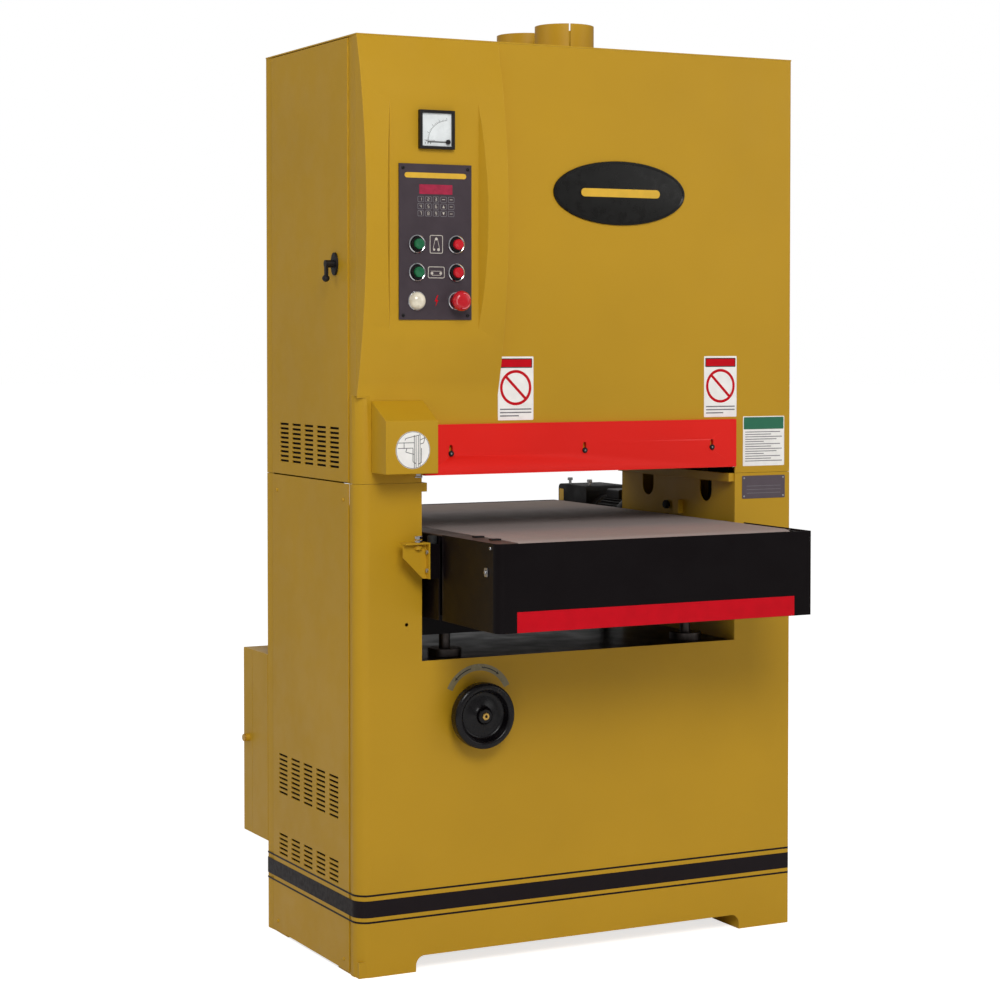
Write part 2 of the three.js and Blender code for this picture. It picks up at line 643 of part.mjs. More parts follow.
// A reducer box on the drive roller's shaft, with its motor lying along the side of the bed.
function bedGearmotor() {
  const x = [384, 492];
  const middle = (x[0] + x[1]) / 2;
  const box = roundedPath(new THREE.Shape(), 424, BED_REACH, 806, 958, 12);
  const housing = sideways(box, x[0], x[1], 2);
  const flange = rod(44, BED_HALF_WIDTH + GAP, x[0] + 2, "x", [0, BED_ROLLER_Y, BED_ROLLER_Z], 20);
  const motor = turned([[0, 270], [48, 270], [56, 280], [56, 400], [62, 402], [62, 426], [0, 426]],
    "y", [middle, 0, 882], 20);
  const bore = rod(12.3, 360, 470, "x", [0, BED_ROLLER_Y, BED_ROLLER_Z]);
  return cutBy(joined(housing, flange, motor), bore);
}

// The push-to-stop panel wraps the front of the bed and runs back along both of its sides. Its left
// corner is rounded and its right one square.
function stopPanel() {
  const radius = 20;
  const plan = new THREE.Shape();
  const wide = BED_HALF_WIDTH;
  plan.moveTo(-wide, SHROUD_REAR);
  plan.absarc(-wide + radius, -BED_REACH + radius, radius, Math.PI, 1.5 * Math.PI, false);
  plan.lineTo(wide, -BED_REACH);
  plan.lineTo(wide, SHROUD_REAR);
  plan.lineTo(wide - SHEET, SHROUD_REAR);
  plan.lineTo(wide - SHEET, -BED_REACH + SHEET);
  plan.absarc(-wide + radius, -BED_REACH + radius, radius - SHEET, 1.5 * Math.PI, Math.PI, true);
  plan.lineTo(-wide + SHEET, SHROUD_REAR);
  plan.closePath();
  return risen(plan, BED_BOX_BOTTOM, TABLE_TOP, 5);
}

// The gauge bracket is a gusset with a top flange and a chrome anvil bolt under the plunger.
function gaugeBracket() {
  const [left, right] = [BRACKET_X[0], BRACKET_X[1] - GAP];
  const [bottom, top] = BRACKET_Z;
  const gusset = outline([
    [right, bottom], [right, top], [left, top], [left, top - 30], [left + 45, bottom],
  ]);
  const flange = block(left, right, -302, -272, top - SHEET, top);
  const tongue = block(right - SHEET, right, -302, -272, bottom, top);
  const bolt = [[0, 890], [8, 890], [8, 897], [5, 897], [5, 910], [8, 910], [8, 918], [0, 918]];
  const anvil = turned(bolt, "z", [GAUGE_X, GAUGE_Y, 0], 16);
  return joined(backwards(gusset, -289, -286), flange, tongue, anvil);
}

function addBed() {
  place("bed_frame", bedFrame(), blackPaint);
  place("conveyor_belt", conveyorBelt(), beltRubber);
  place("conveyor_idler_roller", bedRoller(-BED_ROLLER_Y, 364), steel);
  place("conveyor_drive_roller", bedRoller(BED_ROLLER_Y, 466), steel);
  place("bed_gearmotor", bedGearmotor(), castIron);
  place("stop_panel", stopPanel(), blackPaint);
  place("gauge_bracket", gaugeBracket(), mustardPaint);
}

// ---------------------------------------------------------------- bed lift
const CORNERS = [
  ["front_left", -LIFT_X, -LIFT_Y],
  ["front_right", LIFT_X, -LIFT_Y],
  ["rear_left", -LIFT_X, LIFT_Y],
  ["rear_right", LIFT_X, LIFT_Y],
];

function addLift() {
  for (const [corner, x, y] of CORNERS) {
    place(`lift_screw_${corner}`,
      rod(LIFT_SCREW_RADIUS, 440, BED_FRAME_BOTTOM - GAP, "z", [x, y, 0]), steel);
    const bore = LIFT_SCREW_RADIUS + GAP;
    const seat = SILL_Z - 0.7;
    const nut = [
      [bore, 566], [NUT_RADIUS, 566], [NUT_RADIUS, 600], [SPROCKET_RADIUS, 600],
      [SPROCKET_RADIUS, 612], [NUT_RADIUS, 612], [NUT_RADIUS, seat], [SPROCKET_RADIUS, seat],
      [SPROCKET_RADIUS, 668], [bore, 668], [bore, 566],
    ];
    place(`lift_nut_${corner}`, turned(nut, "z", [x, y, 0], 16), steel);
  }
  const inner = SPROCKET_RADIUS + 0.5;
  const outer = SPROCKET_RADIUS + 8;
  const loop = roundedPath(new THREE.Shape(), -LIFT_X - outer, LIFT_X + outer,
    -LIFT_Y - outer, LIFT_Y + outer, outer);
  loop.holes.push(roundedPath(new THREE.Path(), -LIFT_X - inner, LIFT_X + inner,
    -LIFT_Y - inner, LIFT_Y + inner, inner));
  place("lift_chain", risen(loop, 602, 610, 3), castIron);

  const gearCase = block(-346, -238, -232, -134, 506, 597);
  const nutBore = rod(NUT_RADIUS + 1, 500, 600, "z", [-LIFT_X, -LIFT_Y, 0], 20);
  const shaftBore = rod(10.4, -240, -150, "y", [WHEEL_X, 0, WHEEL_Z]);
  place("lift_gearbox", cutBy(gearCase, nutBore, shaftBore), castIron);

  // A dished handwheel: thick rounded rim, thin web, hub in front and shaft behind.
  const rim = WHEEL_RADIUS;
  const wheel = [
    [0, -300], [15, -298], [15, -286], [48, -282], [57, -300], [rim - 3, -300], [rim, -296],
    [rim, -274], [rim - 4, -270], [48, -270], [18, -277], [18, -258], [10, -256], [10, -154], [0, -154],
  ];
  place("handwheel", turned(wheel, "y", [WHEEL_X, 0, WHEEL_Z], 28), blackPaint);
}

// ---------------------------------------------------------------- sanding head
function headFrame() {
  const wall = block(360, 372, -190, 190, 1046, 1900);
  const beam = block(-345, 361, -45, 45, 1260, 1400);
  const arm = block(-345, -330, -45, 45, 1062, 1262);
  const bars = [-1, 1].flatMap((side) => {
    const y = [side * 150, side * 172].sort((a, b) => a - b);
    const ear = [side * 88, side * 172].sort((a, b) => a - b);
    return [
      block(-372, 361, y[0], y[1], 1076, 1100),
      block(-372, -360, ear[0], ear[1], 1046, 1100),
    ];
  });
  const shelf = block(371, HALF_WIDTH - SHEET - 14, -190, 190, 1046, 1056);
  const shelfOpening = block(400, 512, -100, 100, 1040, 1060);
  const bosses = [[-360, -329], [345, 376]].map(([from, to]) =>
    rod(44, from, to, "x", [0, 0, DRUM_Z], 12));
  const shaftBore = rod(18.2, -380, 380, "x", [0, 0, DRUM_Z]);
  const pressBores = [-PRESS_ROLLER_Y, PRESS_ROLLER_Y].map((y) =>
    rod(8.4, -380, 380, "x", [0, y, PRESS_ROLLER_Z], 12));
  const body = joined(wall, beam, arm, ...bars, cutBy(shelf, shelfOpening), ...bosses);
  return cutBy(body, shaftBore, ...pressBores);
}

function sandingBelt() {
  const lower = DRUM_RADIUS + LOOP_CLEARANCE;
  const upper = TENSION_RADIUS + LOOP_CLEARANCE;
  const inner = pulleyLoop(new THREE.Path(), DRUM_Z, lower, TENSION_Z, upper);
  const band = pulleyLoop(new THREE.Shape(), DRUM_Z, lower + 1.5, TENSION_Z, upper + 1.5);
  band.holes.push(inner);
  return sideways(band, -SANDING_WIDTH / 2, SANDING_WIDTH / 2, 7);
}

function contactDrum() {
  const face = SANDING_WIDTH / 2 + 3;
  const profile = [[0, -364], [17.5, -364], [17.5, -face], [DRUM_RADIUS, -face], [DRUM_RADIUS, face],
    [17.5, face], [17.5, PULLEY_X - 30], [DRUM_PULLEY, PULLEY_X - 30], [DRUM_PULLEY, PULLEY_X + 30],
    [17.5, PULLEY_X + 30], [17.5, PULLEY_X + 40], [0, PULLEY_X + 40]];
  return turned(profile, "x", [0, 0, DRUM_Z], 24);
}

function addTensioner() {
  const face = SANDING_WIDTH / 2;
  const roller = [[0, -344], [12, -344], [12, -face], [TENSION_RADIUS, -face], [TENSION_RADIUS, face],
    [12, face], [12, 344], [0, 344]];
  place("tension_roller", turned(roller, "x", [0, 0, TENSION_Z], 24), steel);
  const cross = block(-344, 344, -20, 20, 1560, 1600);
  const ears = [-1, 1].map((side) => {
    const x = [side * 328, side * 344].sort((a, b) => a - b);
    return block(x[0], x[1], -20, 20, 1562, TENSION_Z + 22);
  });
  const bore = rod(12.4, -350, 350, "x", [0, 0, TENSION_Z]);
  const piston = rod(10, 1428, 1562, "z", [0, 0, 0]);
  place("tension_yoke", joined(cutBy(joined(cross, ...ears), bore), piston), castIron);
  const barrel = turned([[0, 1400.3], [30, 1400.3], [30, 1506], [10.3, 1506], [10.3, 1406], [0, 1406]],
    "z", [0, 0, 0], 16);
  place("tension_cylinder", barrel, steel);
}

function addSandingHead() {
  place("head_frame", headFrame(), castIron);
  place("sanding_belt", sandingBelt(), abrasive);
  place("contact_drum", contactDrum(), blackRubber);
  addTensioner();
  const roller = [[0, -371], [8, -371], [8, -320], [19, -320], [19, 320], [8, 320], [8, 371], [0, 371]];
  place("pressure_roller_front", turned(roller, "x", [0, -PRESS_ROLLER_Y, PRESS_ROLLER_Z], 16), steel);
  place("pressure_roller_rear", turned(roller, "x", [0, PRESS_ROLLER_Y, PRESS_ROLLER_Z], 16), steel);
}

// ---------------------------------------------------------------- drive and electrics
function addDrive() {
  const frame = turned([[0, -300], [90, -300], [108, -285], [108, 150], [60, 168], [60, 176],
    [0, 176]], "x", [0, 0, MOTOR_Z], 24);
  const feet = block(-170, 90, -120, 120, 46.3, 62);
  const saddle = block(-160, 80, -80, 80, 60, MOTOR_Z);
  const junction = block(-90, 10, -50, 50, MOTOR_Z + 90, MOTOR_Z + 140);
  const shaftBore = rod(19.5, 120, 190, "x", [0, 0, MOTOR_Z]);
  place("main_motor", cutBy(joined(frame, feet, saddle, junction), shaftBore), castIron);
  const rotor = [[0, 122], [19, 122], [19, PULLEY_X - 30], [MOTOR_PULLEY, PULLEY_X - 30],
    [MOTOR_PULLEY, PULLEY_X + 30], [19, PULLEY_X + 30], [19, PULLEY_X + 36], [0, PULLEY_X + 36]];
  place("motor_rotor", turned(rotor, "x", [0, 0, MOTOR_Z]), steel);
  const inner = pulleyLoop(new THREE.Path(), MOTOR_Z, MOTOR_PULLEY + LOOP_CLEARANCE,
    DRUM_Z, DRUM_PULLEY + LOOP_CLEARANCE);
  const band = pulleyLoop(new THREE.Shape(), MOTOR_Z, MOTOR_PULLEY + 10, DRUM_Z, DRUM_PULLEY + 10);
  band.holes.push(inner);
  place("drive_belts", sideways(band, PULLEY_X - 25, PULLEY_X + 25, 6), blackRubber);
}

const BOX_RIGHT = -133;
const BOX_REAR = 397;
const BOX_SEAM = 344;
const BOX_Z = [195, 616];

// The electrical box is two shallow pans, mouth to mouth: one on the cabinet, one as its door.
function addElectricalBox() {
  const wall = 2;
  const [z0, z1] = BOX_Z;
  const body = block(-HALF_WIDTH, BOX_RIGHT, HALF_DEPTH + GAP, BOX_SEAM - GAP, z0, z1);
  const bodyInside = block(-HALF_WIDTH + wall, BOX_RIGHT - wall, HALF_DEPTH + wall + GAP,
    BOX_SEAM + 5, z0 + wall, z1 - wall);
  place("electrical_box", cutBy(body, bodyInside), mustardPaint);
  const door = block(-HALF_WIDTH, BOX_RIGHT, BOX_SEAM + GAP, BOX_REAR, z0, z1);
  const doorInside = block(-HALF_WIDTH + wall, BOX_RIGHT - wall, BOX_SEAM - 5,
    BOX_REAR - wall, z0 + wall, z1 - wall);
  const turnKnob = rod(9, -HALF_WIDTH - 10, -HALF_WIDTH + 1, "x", [0, 366, 412], 16);
  place("electrical_box_door", joined(cutBy(door, doorInside), turnKnob), mustardPaint);
}

addLowerCabinet();
addColumnsAndDeck();
addSides();
addHeadCovers();
addFrontFittings();
addControls();
addMeter();
addBed();
addLift();
addSandingHead();
addDrive();
addElectricalBox();

export default sander;
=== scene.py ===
import json
import math

import bmesh
import bpy
from mathutils import Matrix, Vector

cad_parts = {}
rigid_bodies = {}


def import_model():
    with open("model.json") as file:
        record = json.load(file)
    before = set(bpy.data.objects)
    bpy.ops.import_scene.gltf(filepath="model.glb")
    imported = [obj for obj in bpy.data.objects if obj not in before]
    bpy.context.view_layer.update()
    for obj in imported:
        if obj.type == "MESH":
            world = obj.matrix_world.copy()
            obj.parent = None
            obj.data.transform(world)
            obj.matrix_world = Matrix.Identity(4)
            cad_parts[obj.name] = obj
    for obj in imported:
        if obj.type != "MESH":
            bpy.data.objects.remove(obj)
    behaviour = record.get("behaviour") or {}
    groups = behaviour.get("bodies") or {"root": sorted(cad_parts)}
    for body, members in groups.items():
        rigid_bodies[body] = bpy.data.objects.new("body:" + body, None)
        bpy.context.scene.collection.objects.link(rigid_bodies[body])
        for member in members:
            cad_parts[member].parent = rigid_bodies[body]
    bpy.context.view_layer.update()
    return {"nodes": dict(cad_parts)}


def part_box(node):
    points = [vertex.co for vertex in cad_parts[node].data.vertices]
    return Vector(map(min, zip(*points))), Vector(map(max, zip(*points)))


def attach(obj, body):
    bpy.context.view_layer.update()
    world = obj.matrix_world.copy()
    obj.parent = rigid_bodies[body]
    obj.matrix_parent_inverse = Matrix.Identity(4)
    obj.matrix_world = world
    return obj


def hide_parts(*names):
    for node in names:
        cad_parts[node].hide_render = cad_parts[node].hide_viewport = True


for leftover in list(bpy.data.objects):
    bpy.data.objects.remove(leftover)

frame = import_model()

# ---------------------------------------------------------------- places, in millimetres
MM = 0.001
SKIN = 0.3


def corners(node):
    """Lowest and highest corner of a CAD node, in millimetres."""
    low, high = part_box(node)
    return low / MM, high / MM


LEFT = corners("left_side_panel")[0].x
RIGHT = corners("right_side_panel")[1].x
FRONT = corners("lower_front_panel")[0].y
REAR = corners("lower_rear_panel")[1].y
ROOF = corners("head_top_cover")[1].z
CORNER_RADIUS = 30
STRIP_LOW = corners("red_guard_strip")[0]
PLATE_LOW, PLATE_HIGH = corners("control_plate")
METER_LOW, METER_HIGH = corners("ammeter_housing")
NOSE_LOW = corners("gauge_housing")[0]
PANEL_LOW, PANEL_HIGH = corners("stop_panel")
BED_HIGH = corners("bed_frame")[1]
BELT_LOW, BELT_HIGH = corners("conveyor_belt")
WHEEL_LOW, WHEEL_HIGH = corners("handwheel")
BOX_LOW = corners("electrical_box_door")[0]
MOTOR_LOW, MOTOR_HIGH = corners("bed_gearmotor")
WHEEL = ((WHEEL_LOW.x + WHEEL_HIGH.x) / 2, (WHEEL_LOW.z + WHEEL_HIGH.z) / 2)


# ---------------------------------------------------------------- materials
def linear(red, green, blue):
    """An sRGB colour, 0 to 255, as linear RGBA."""
    shares = [value / 255 for value in (red, green, blue)]
    return tuple(s / 12.92 if s <= 0.04045 else ((s + 0.055) / 1.055) ** 2.4 for s in shares) + (1.0,)


def shade(colour, factor):
    """A colour made darker or lighter by a factor."""
    return tuple(min(channel * factor, 1.0) for channel in colour[:3]) + (1.0,)


class Finish:
    """A procedural material, whose colour, roughness and relief vary over the surface."""

    def __init__(self, name, colour, roughness, metallic=0.0):
        self.material = bpy.data.materials.new(name)
        self.material.use_nodes = True
        self.tree = self.material.node_tree
        self.shader = self.tree.nodes["Principled BSDF"]
        self.place = self.add("ShaderNodeTexCoord").outputs["Object"]
        self.base = colour
        self.tint = None
        self.relief = None
        self.set("Base Color", colour)
        self.set("Roughness", roughness)
        self.set("Metallic", metallic)

    def add(self, kind, **settings):
        """A new node with its settings."""
        node = self.tree.nodes.new(kind)
        for name, value in settings.items():
            setattr(node, name, value)
        return node

    def set(self, socket, value):
        """A fixed value on the shader's own socket."""
        self.shader.inputs[socket].default_value = value
        return self

    def noise(self, scale, detail=3.0, stretch=(1, 1, 1)):
        """Soft noise, drawn out along the axes with a small stretch."""
        mapping = self.add("ShaderNodeMapping")
        mapping.inputs["Scale"].default_value = stretch
        self.tree.links.new(self.place, mapping.inputs["Vector"])
        noise = self.add("ShaderNodeTexNoise")
        noise.inputs["Scale"].default_value = scale
        noise.inputs["Detail"].default_value = detail
        self.tree.links.new(mapping.outputs["Vector"], noise.inputs["Vector"])
        return noise.outputs["Fac"]

    def cells(self, scale):
        """Distance from the middles of scattered cells."""
        voronoi = self.add("ShaderNodeTexVoronoi")
        voronoi.inputs["Scale"].default_value = scale
        self.tree.links.new(self.place, voronoi.inputs["Vector"])
        return voronoi.outputs["Distance"]

    def ranged(self, value, to_low, to_high, low=0.35, high=0.65):
        """A value moved from one range to another."""
        node = self.add("ShaderNodeMapRange")
        for socket, number in zip(("From Min", "From Max", "To Min", "To Max"), (low, high, to_low, to_high)):
            node.inputs[socket].default_value = number
        self.tree.links.new(value, node.inputs["Value"])
        return node.outputs["Result"]

    def mix(self, factor, first, second):
        """Two colours mixed by a factor."""
        node = self.add("ShaderNodeMix", data_type="RGBA")
        self.tree.links.new(factor, node.inputs[0])
        for socket, value in ((node.inputs[6], first), (node.inputs[7], second)):
            if isinstance(value, tuple):
                socket.default_value = value
            else:
                self.tree.links.new(value, socket)
        return node.outputs[2]

    def colour(self, value):
        """A changing colour for the surface."""
        self.tint = value
        self.tree.links.new(value, self.shader.inputs["Base Color"])
        return self

    def mottled(self, scale, low=0.94, high=1.06, stretch=(1, 1, 1), detail=3.0):
        """Broad, soft changes of colour."""
        factor = self.ranged(self.noise(scale, detail, stretch), 0.0, 1.0)
        return self.colour(self.mix(factor, shade(self.base, low), shade(self.base, high)))

    def speckled(self, factor, other):
        """A second colour laid over the first where factor is high."""
        first = self.base if self.tint is None else self.tint
        return self.colour(self.mix(factor, first, other))

    def worn_and_highlit_edges(self, lighter, radius=0.0012):
        """Edges made a little lighter, in patches: partly wear, partly a painted highlight along the edges.
        """
        # The lighter edge colour is partly wear and partly a painted highlight on the edges.
        bevel = self.add("ShaderNodeBevel", samples=4)
        bevel.inputs["Radius"].default_value = radius
        geometry = self.add("ShaderNodeNewGeometry")
        facing = self.add("ShaderNodeVectorMath", operation="DOT_PRODUCT")
        self.tree.links.new(bevel.outputs["Normal"], facing.inputs[0])
        self.tree.links.new(geometry.outputs["Normal"], facing.inputs[1])
        edge = self.ranged(facing.outputs["Value"], 1.0, 0.0, 0.80, 0.985)
        patch = self.ranged(self.noise(45.0), 0.15, 0.75)
        both = self.add("ShaderNodeMath", operation="MULTIPLY")
        self.tree.links.new(edge, both.inputs[0])
        self.tree.links.new(patch, both.inputs[1])
        return self.speckled(both.outputs[0], lighter)

    def rough(self, low, high, scale=30.0, stretch=(1, 1, 1)):
        """Roughness that varies between two values."""
        value = self.ranged(self.noise(scale, 4.0, stretch), low, high)
        self.tree.links.new(value, self.shader.inputs["Roughness"])
        return self

    def bump(self, height, strength, distance):
        """Fine relief, on top of any already there."""
        node = self.add("ShaderNodeBump")
        node.inputs["Strength"].default_value = strength
        node.inputs["Distance"].default_value = distance
        self.tree.links.new(height, node.inputs["Height"])
        if self.relief is not None:
            self.tree.links.new(self.relief, node.inputs["Normal"])
        self.relief = node.outputs["Normal"]
        self.tree.links.new(self.relief, self.shader.inputs["Normal"])
        return self


def baked_paint(name, colour, roughness, lighter):
    """Sprayed enamel on sheet steel: orange peel, faint unevenness, and lighter edges that are partly wear,
    partly a painted highlight.
    """
    paint = Finish(name, colour, roughness)
    # Lighter edges: partly wear, partly a painted highlight.
    paint.mottled(2.2, 0.96, 1.04).worn_and_highlit_edges(lighter)
    paint.rough(roughness - 0.05, roughness + 0.07, 14.0)
    paint.bump(paint.noise(260.0, 2.0), 0.10, 0.0006)
    paint.bump(paint.noise(4.0, 1.0), 0.25, 0.0012)
    return paint.set("Coat Weight", 0.03).set("Coat Roughness", 0.25).set("Specular IOR Level", 0.26)


def moulded(name, colour, roughness, grain=0.12):
    """Moulded plastic with a fine spark-eroded grain."""
    plastic = Finish(name, colour, roughness)
    plastic.mottled(30.0, 0.93, 1.07).rough(roughness - 0.06, roughness + 0.08, 60.0)
    return plastic.bump(plastic.noise(1100.0, 2.0), grain, 0.0002)


def machined(name, colour, low, high, stretch=(1, 1, 1), scratch=0.12):
    """Turned or ground metal, its tool marks drawn out across the stretched axis."""
    metal = Finish(name, colour, (low + high) / 2, 1.0)
    metal.mottled(14.0, 0.88, 1.06).rough(low, high, 160.0, stretch)
    return metal.bump(metal.noise(420.0, 3.0, stretch), scratch, 0.0002)


def printed(name, colour, roughness=0.42):
    """Ink or foil on a thin self-adhesive label."""
    label = Finish(name, colour, roughness)
    label.mottled(40.0, 0.95, 1.03).rough(roughness - 0.06, roughness + 0.10, 90.0)
    return label.bump(label.noise(700.0, 2.0), 0.05, 0.0001)


def conveyor_rubber():
    """Worn grey rubber with a fine pebbled face, streaked along its travel."""
    rubber = Finish("conveyor_rubber", linear(174, 160, 156), 0.62)
    rubber.mottled(3.0, 0.93, 1.05, (1.0, 0.22, 1.0), 5.0)
    rubber.speckled(rubber.ranged(rubber.noise(900.0, 2.0), 0.0, 0.30), linear(88, 78, 75))
    rubber.rough(0.62, 0.76, 26.0)
    rubber.set("Specular IOR Level", 0.1)
    rubber.bump(rubber.cells(620.0), 0.35, 0.0005)
    return rubber.bump(rubber.noise(12.0, 2.0, (0.3, 6.0, 1.0)), 0.12, 0.001)


def grit_cloth():
    """Brown abrasive cloth with bright grains and streaks of wood dust."""
    cloth = Finish("grit_cloth", linear(124, 66, 44), 0.92)
    cloth.mottled(8.0, 0.82, 1.12, (1.0, 0.4, 0.15), 4.0)
    cloth.speckled(cloth.ranged(cloth.noise(1500.0, 2.0), 0.0, 0.7), linear(188, 140, 104))
    cloth.speckled(cloth.ranged(cloth.noise(3.0, 5.0, (6.0, 1.0, 0.3)), 0.0, 0.35, 0.5, 0.8),
                   linear(206, 178, 138))
    cloth.rough(0.85, 0.98, 60.0)
    return cloth.bump(cloth.cells(1300.0), 0.7, 0.0008)


def cast_metal(name, colour):
    """Painted casting with a coarse, sandy face."""
    metal = Finish(name, colour, 0.6, 0.35)
    # Lighter edges: partly wear, partly a painted highlight.
    metal.mottled(10.0, 0.85, 1.15).worn_and_highlit_edges(linear(120, 118, 114), 0.0016)
    metal.rough(0.5, 0.75, 20.0)
    return metal.bump(metal.noise(260.0, 5.0), 0.4, 0.0008)


def lens(name, colour, glow):
    """A translucent coloured cap or window with a faint light behind it."""
    plastic = Finish(name, colour, 0.12)
    plastic.mottled(70.0, 0.80, 1.12).rough(0.08, 0.20, 50.0)
    plastic.bump(plastic.noise(240.0, 2.0), 0.10, 0.0006)
    plastic.set("Emission Color", colour).set("Emission Strength", glow)
    return plastic.set("Coat Weight", 0.6).set("Coat Roughness", 0.05)


# The last colour of each baked paint is its edge colour, partly wear and partly a painted highlight.
MUSTARD = baked_paint("mustard_enamel", linear(191, 147, 28), 0.42, linear(220, 182, 76))
RED = baked_paint("red_enamel", linear(232, 26, 14), 0.40, linear(236, 84, 62))
BLACK = baked_paint("black_enamel", linear(15, 10, 12), 0.34, linear(52, 48, 48))
BLACK.set("Specular IOR Level", 0.10).set("Coat Weight", 0.0)
PLATE = moulded("panel_film", linear(66, 56, 62), 0.46, 0.06).set("Specular IOR Level", 0.25)
PLASTIC = moulded("black_plastic_grain", linear(24, 21, 23), 0.42).set("Specular IOR Level", 0.3)
GLOSS_BLACK = moulded("phenolic_black", linear(13, 10, 13), 0.24, 0.04).set("Specular IOR Level", 0.30)
BADGE_BLACK = moulded("badge_lacquer", linear(14, 13, 11), 0.30, 0.03).set("Specular IOR Level", 0.32)
GREEN = moulded("green_button", linear(8, 104, 62), 0.28, 0.05).set("Coat Weight", 0.4)
RED_CAP = moulded("red_button", linear(200, 8, 28), 0.24, 0.04).set("Coat Weight", 0.25)
LAMP = lens("cream_lamp", linear(226, 216, 194), 0.10)
DISPLAY = lens("red_window", linear(158, 26, 60), 0.12)
CAST = cast_metal("grey_casting", linear(62, 60, 60))
CAST_BLACK = cast_metal("black_casting", linear(24, 21, 23))
STEEL = machined("ground_steel", linear(176, 176, 178), 0.22, 0.42, (0.08, 1.0, 1.0))
DARK_STEEL = machined("oiled_steel", linear(78, 72, 70), 0.30, 0.52)
CHROME = machined("bright_chrome", linear(222, 222, 226), 0.06, 0.16, scratch=0.03)
BRASS = machined("brass", linear(214, 172, 92), 0.18, 0.34, scratch=0.06)
BELT = conveyor_rubber()
RUBBER = moulded("black_rubber_grain", linear(22, 21, 21), 0.78, 0.3)
GRIT = grit_cloth()
WHITE = printed("white_card", linear(250, 247, 242))
PRINT_RED = printed("red_ink", linear(200, 6, 26)).set("Specular IOR Level", 0.12)
# Pink for the painted highlights on the emergency stop's glossy head.
PINK_HIGHLIGHT = printed("painted_highlight_pink", linear(226, 120, 128))
PRINT_GREEN = printed("green_ink", linear(28, 108, 78))
PRINT_BLACK = printed("black_ink", linear(28, 22, 24))
PRINT_GREY = printed("grey_ink", linear(120, 116, 120))
PRINT_LIGHT = printed("light_ink", linear(204, 196, 184))
PRINT_GOLD = printed("gold_ink", linear(226, 178, 48))
FOIL = printed("grey_foil", linear(86, 74, 82), 0.36)
ARC_FOIL = printed("arc_foil", linear(138, 126, 92), 0.30)
VINYL = printed("black_vinyl", linear(24, 16, 20), 0.38).set("Specular IOR Level", 0.16)
# Near-black sheet colour put behind the louver slots as painted shade.
LOUVER_SHADE = printed("painted_shade_sheet", linear(20, 14, 8), 0.8).set("Specular IOR Level", 0.1)
DIAL = printed("dial_card", linear(236, 240, 240), 0.3).set("Coat Weight", 0.5)
# Its last colour is the edge colour, partly wear and partly a painted highlight.
STRIP_PAINT = baked_paint("brown_strip", linear(88, 74, 68), 0.45, linear(128, 112, 104))


# ---------------------------------------------------------------- outlines
def arc(centre, radius, start, end, steps):
    """Points on an arc, angles in degrees, both ends included."""
    points = []
    for step in range(steps + 1):
        angle = math.radians(start + (end - start) * step / steps)
        points.append((centre[0] + radius * math.cos(angle), centre[1] + radius * math.sin(angle)))
    return points


def circle(centre, radius, steps=48):
    """Points on a circle."""
    return arc(centre, radius, 0, 360, steps)[:-1]


def rectangle(x0, x1, z0, z1):
    """The four corners of a rectangle."""
    return [(x0, z0), (x1, z0), (x1, z1), (x0, z1)]


def rounded(x0, x1, z0, z1, radius, steps=5):
    """A rectangle with round corners."""
    return (arc((x1 - radius, z0 + radius), radius, -90, 0, steps)
            + arc((x1 - radius, z1 - radius), radius, 0, 90, steps)
            + arc((x0 + radius, z1 - radius), radius, 90, 180, steps)
            + arc((x0 + radius, z0 + radius), radius, 180, 270, steps))


def stroke(start, end, width):
    """A straight line with square ends, as an outline."""
    along = Vector((end[0] - start[0], end[1] - start[1])).normalized()
    side = Vector((-along.y, along.x)) * width / 2
    first, last = Vector(start), Vector(end)
    return [tuple(first - side), tuple(last - side), tuple(last + side), tuple(first + side)]


def eased(points, steps=5):
    """A smooth curve through the points."""
    curve = []
    for i in range(len(points) - 1):
        before, start = Vector(points[max(i - 1, 0)]), Vector(points[i])
        end, after = Vector(points[i + 1]), Vector(points[min(i + 2, len(points) - 1)])
        for step in range(steps):
            t = step / steps
            curve.append(tuple(0.5 * (2 * start + (end - before) * t
                                      + (2 * before - 5 * start + 4 * end - after) * t * t
                                      + (3 * start - before - 3 * end + after) * t ** 3)))
    return curve + [tuple(points[-1])]


def at(axis, u, v, along):
    """A point from its two coordinates across an axis and the one along it."""
    return {"x": (along, u, v), "y": (u, along, v), "z": (u, v, along)}[axis]


# ---------------------------------------------------------------- pieces
SHARP = math.radians(32)


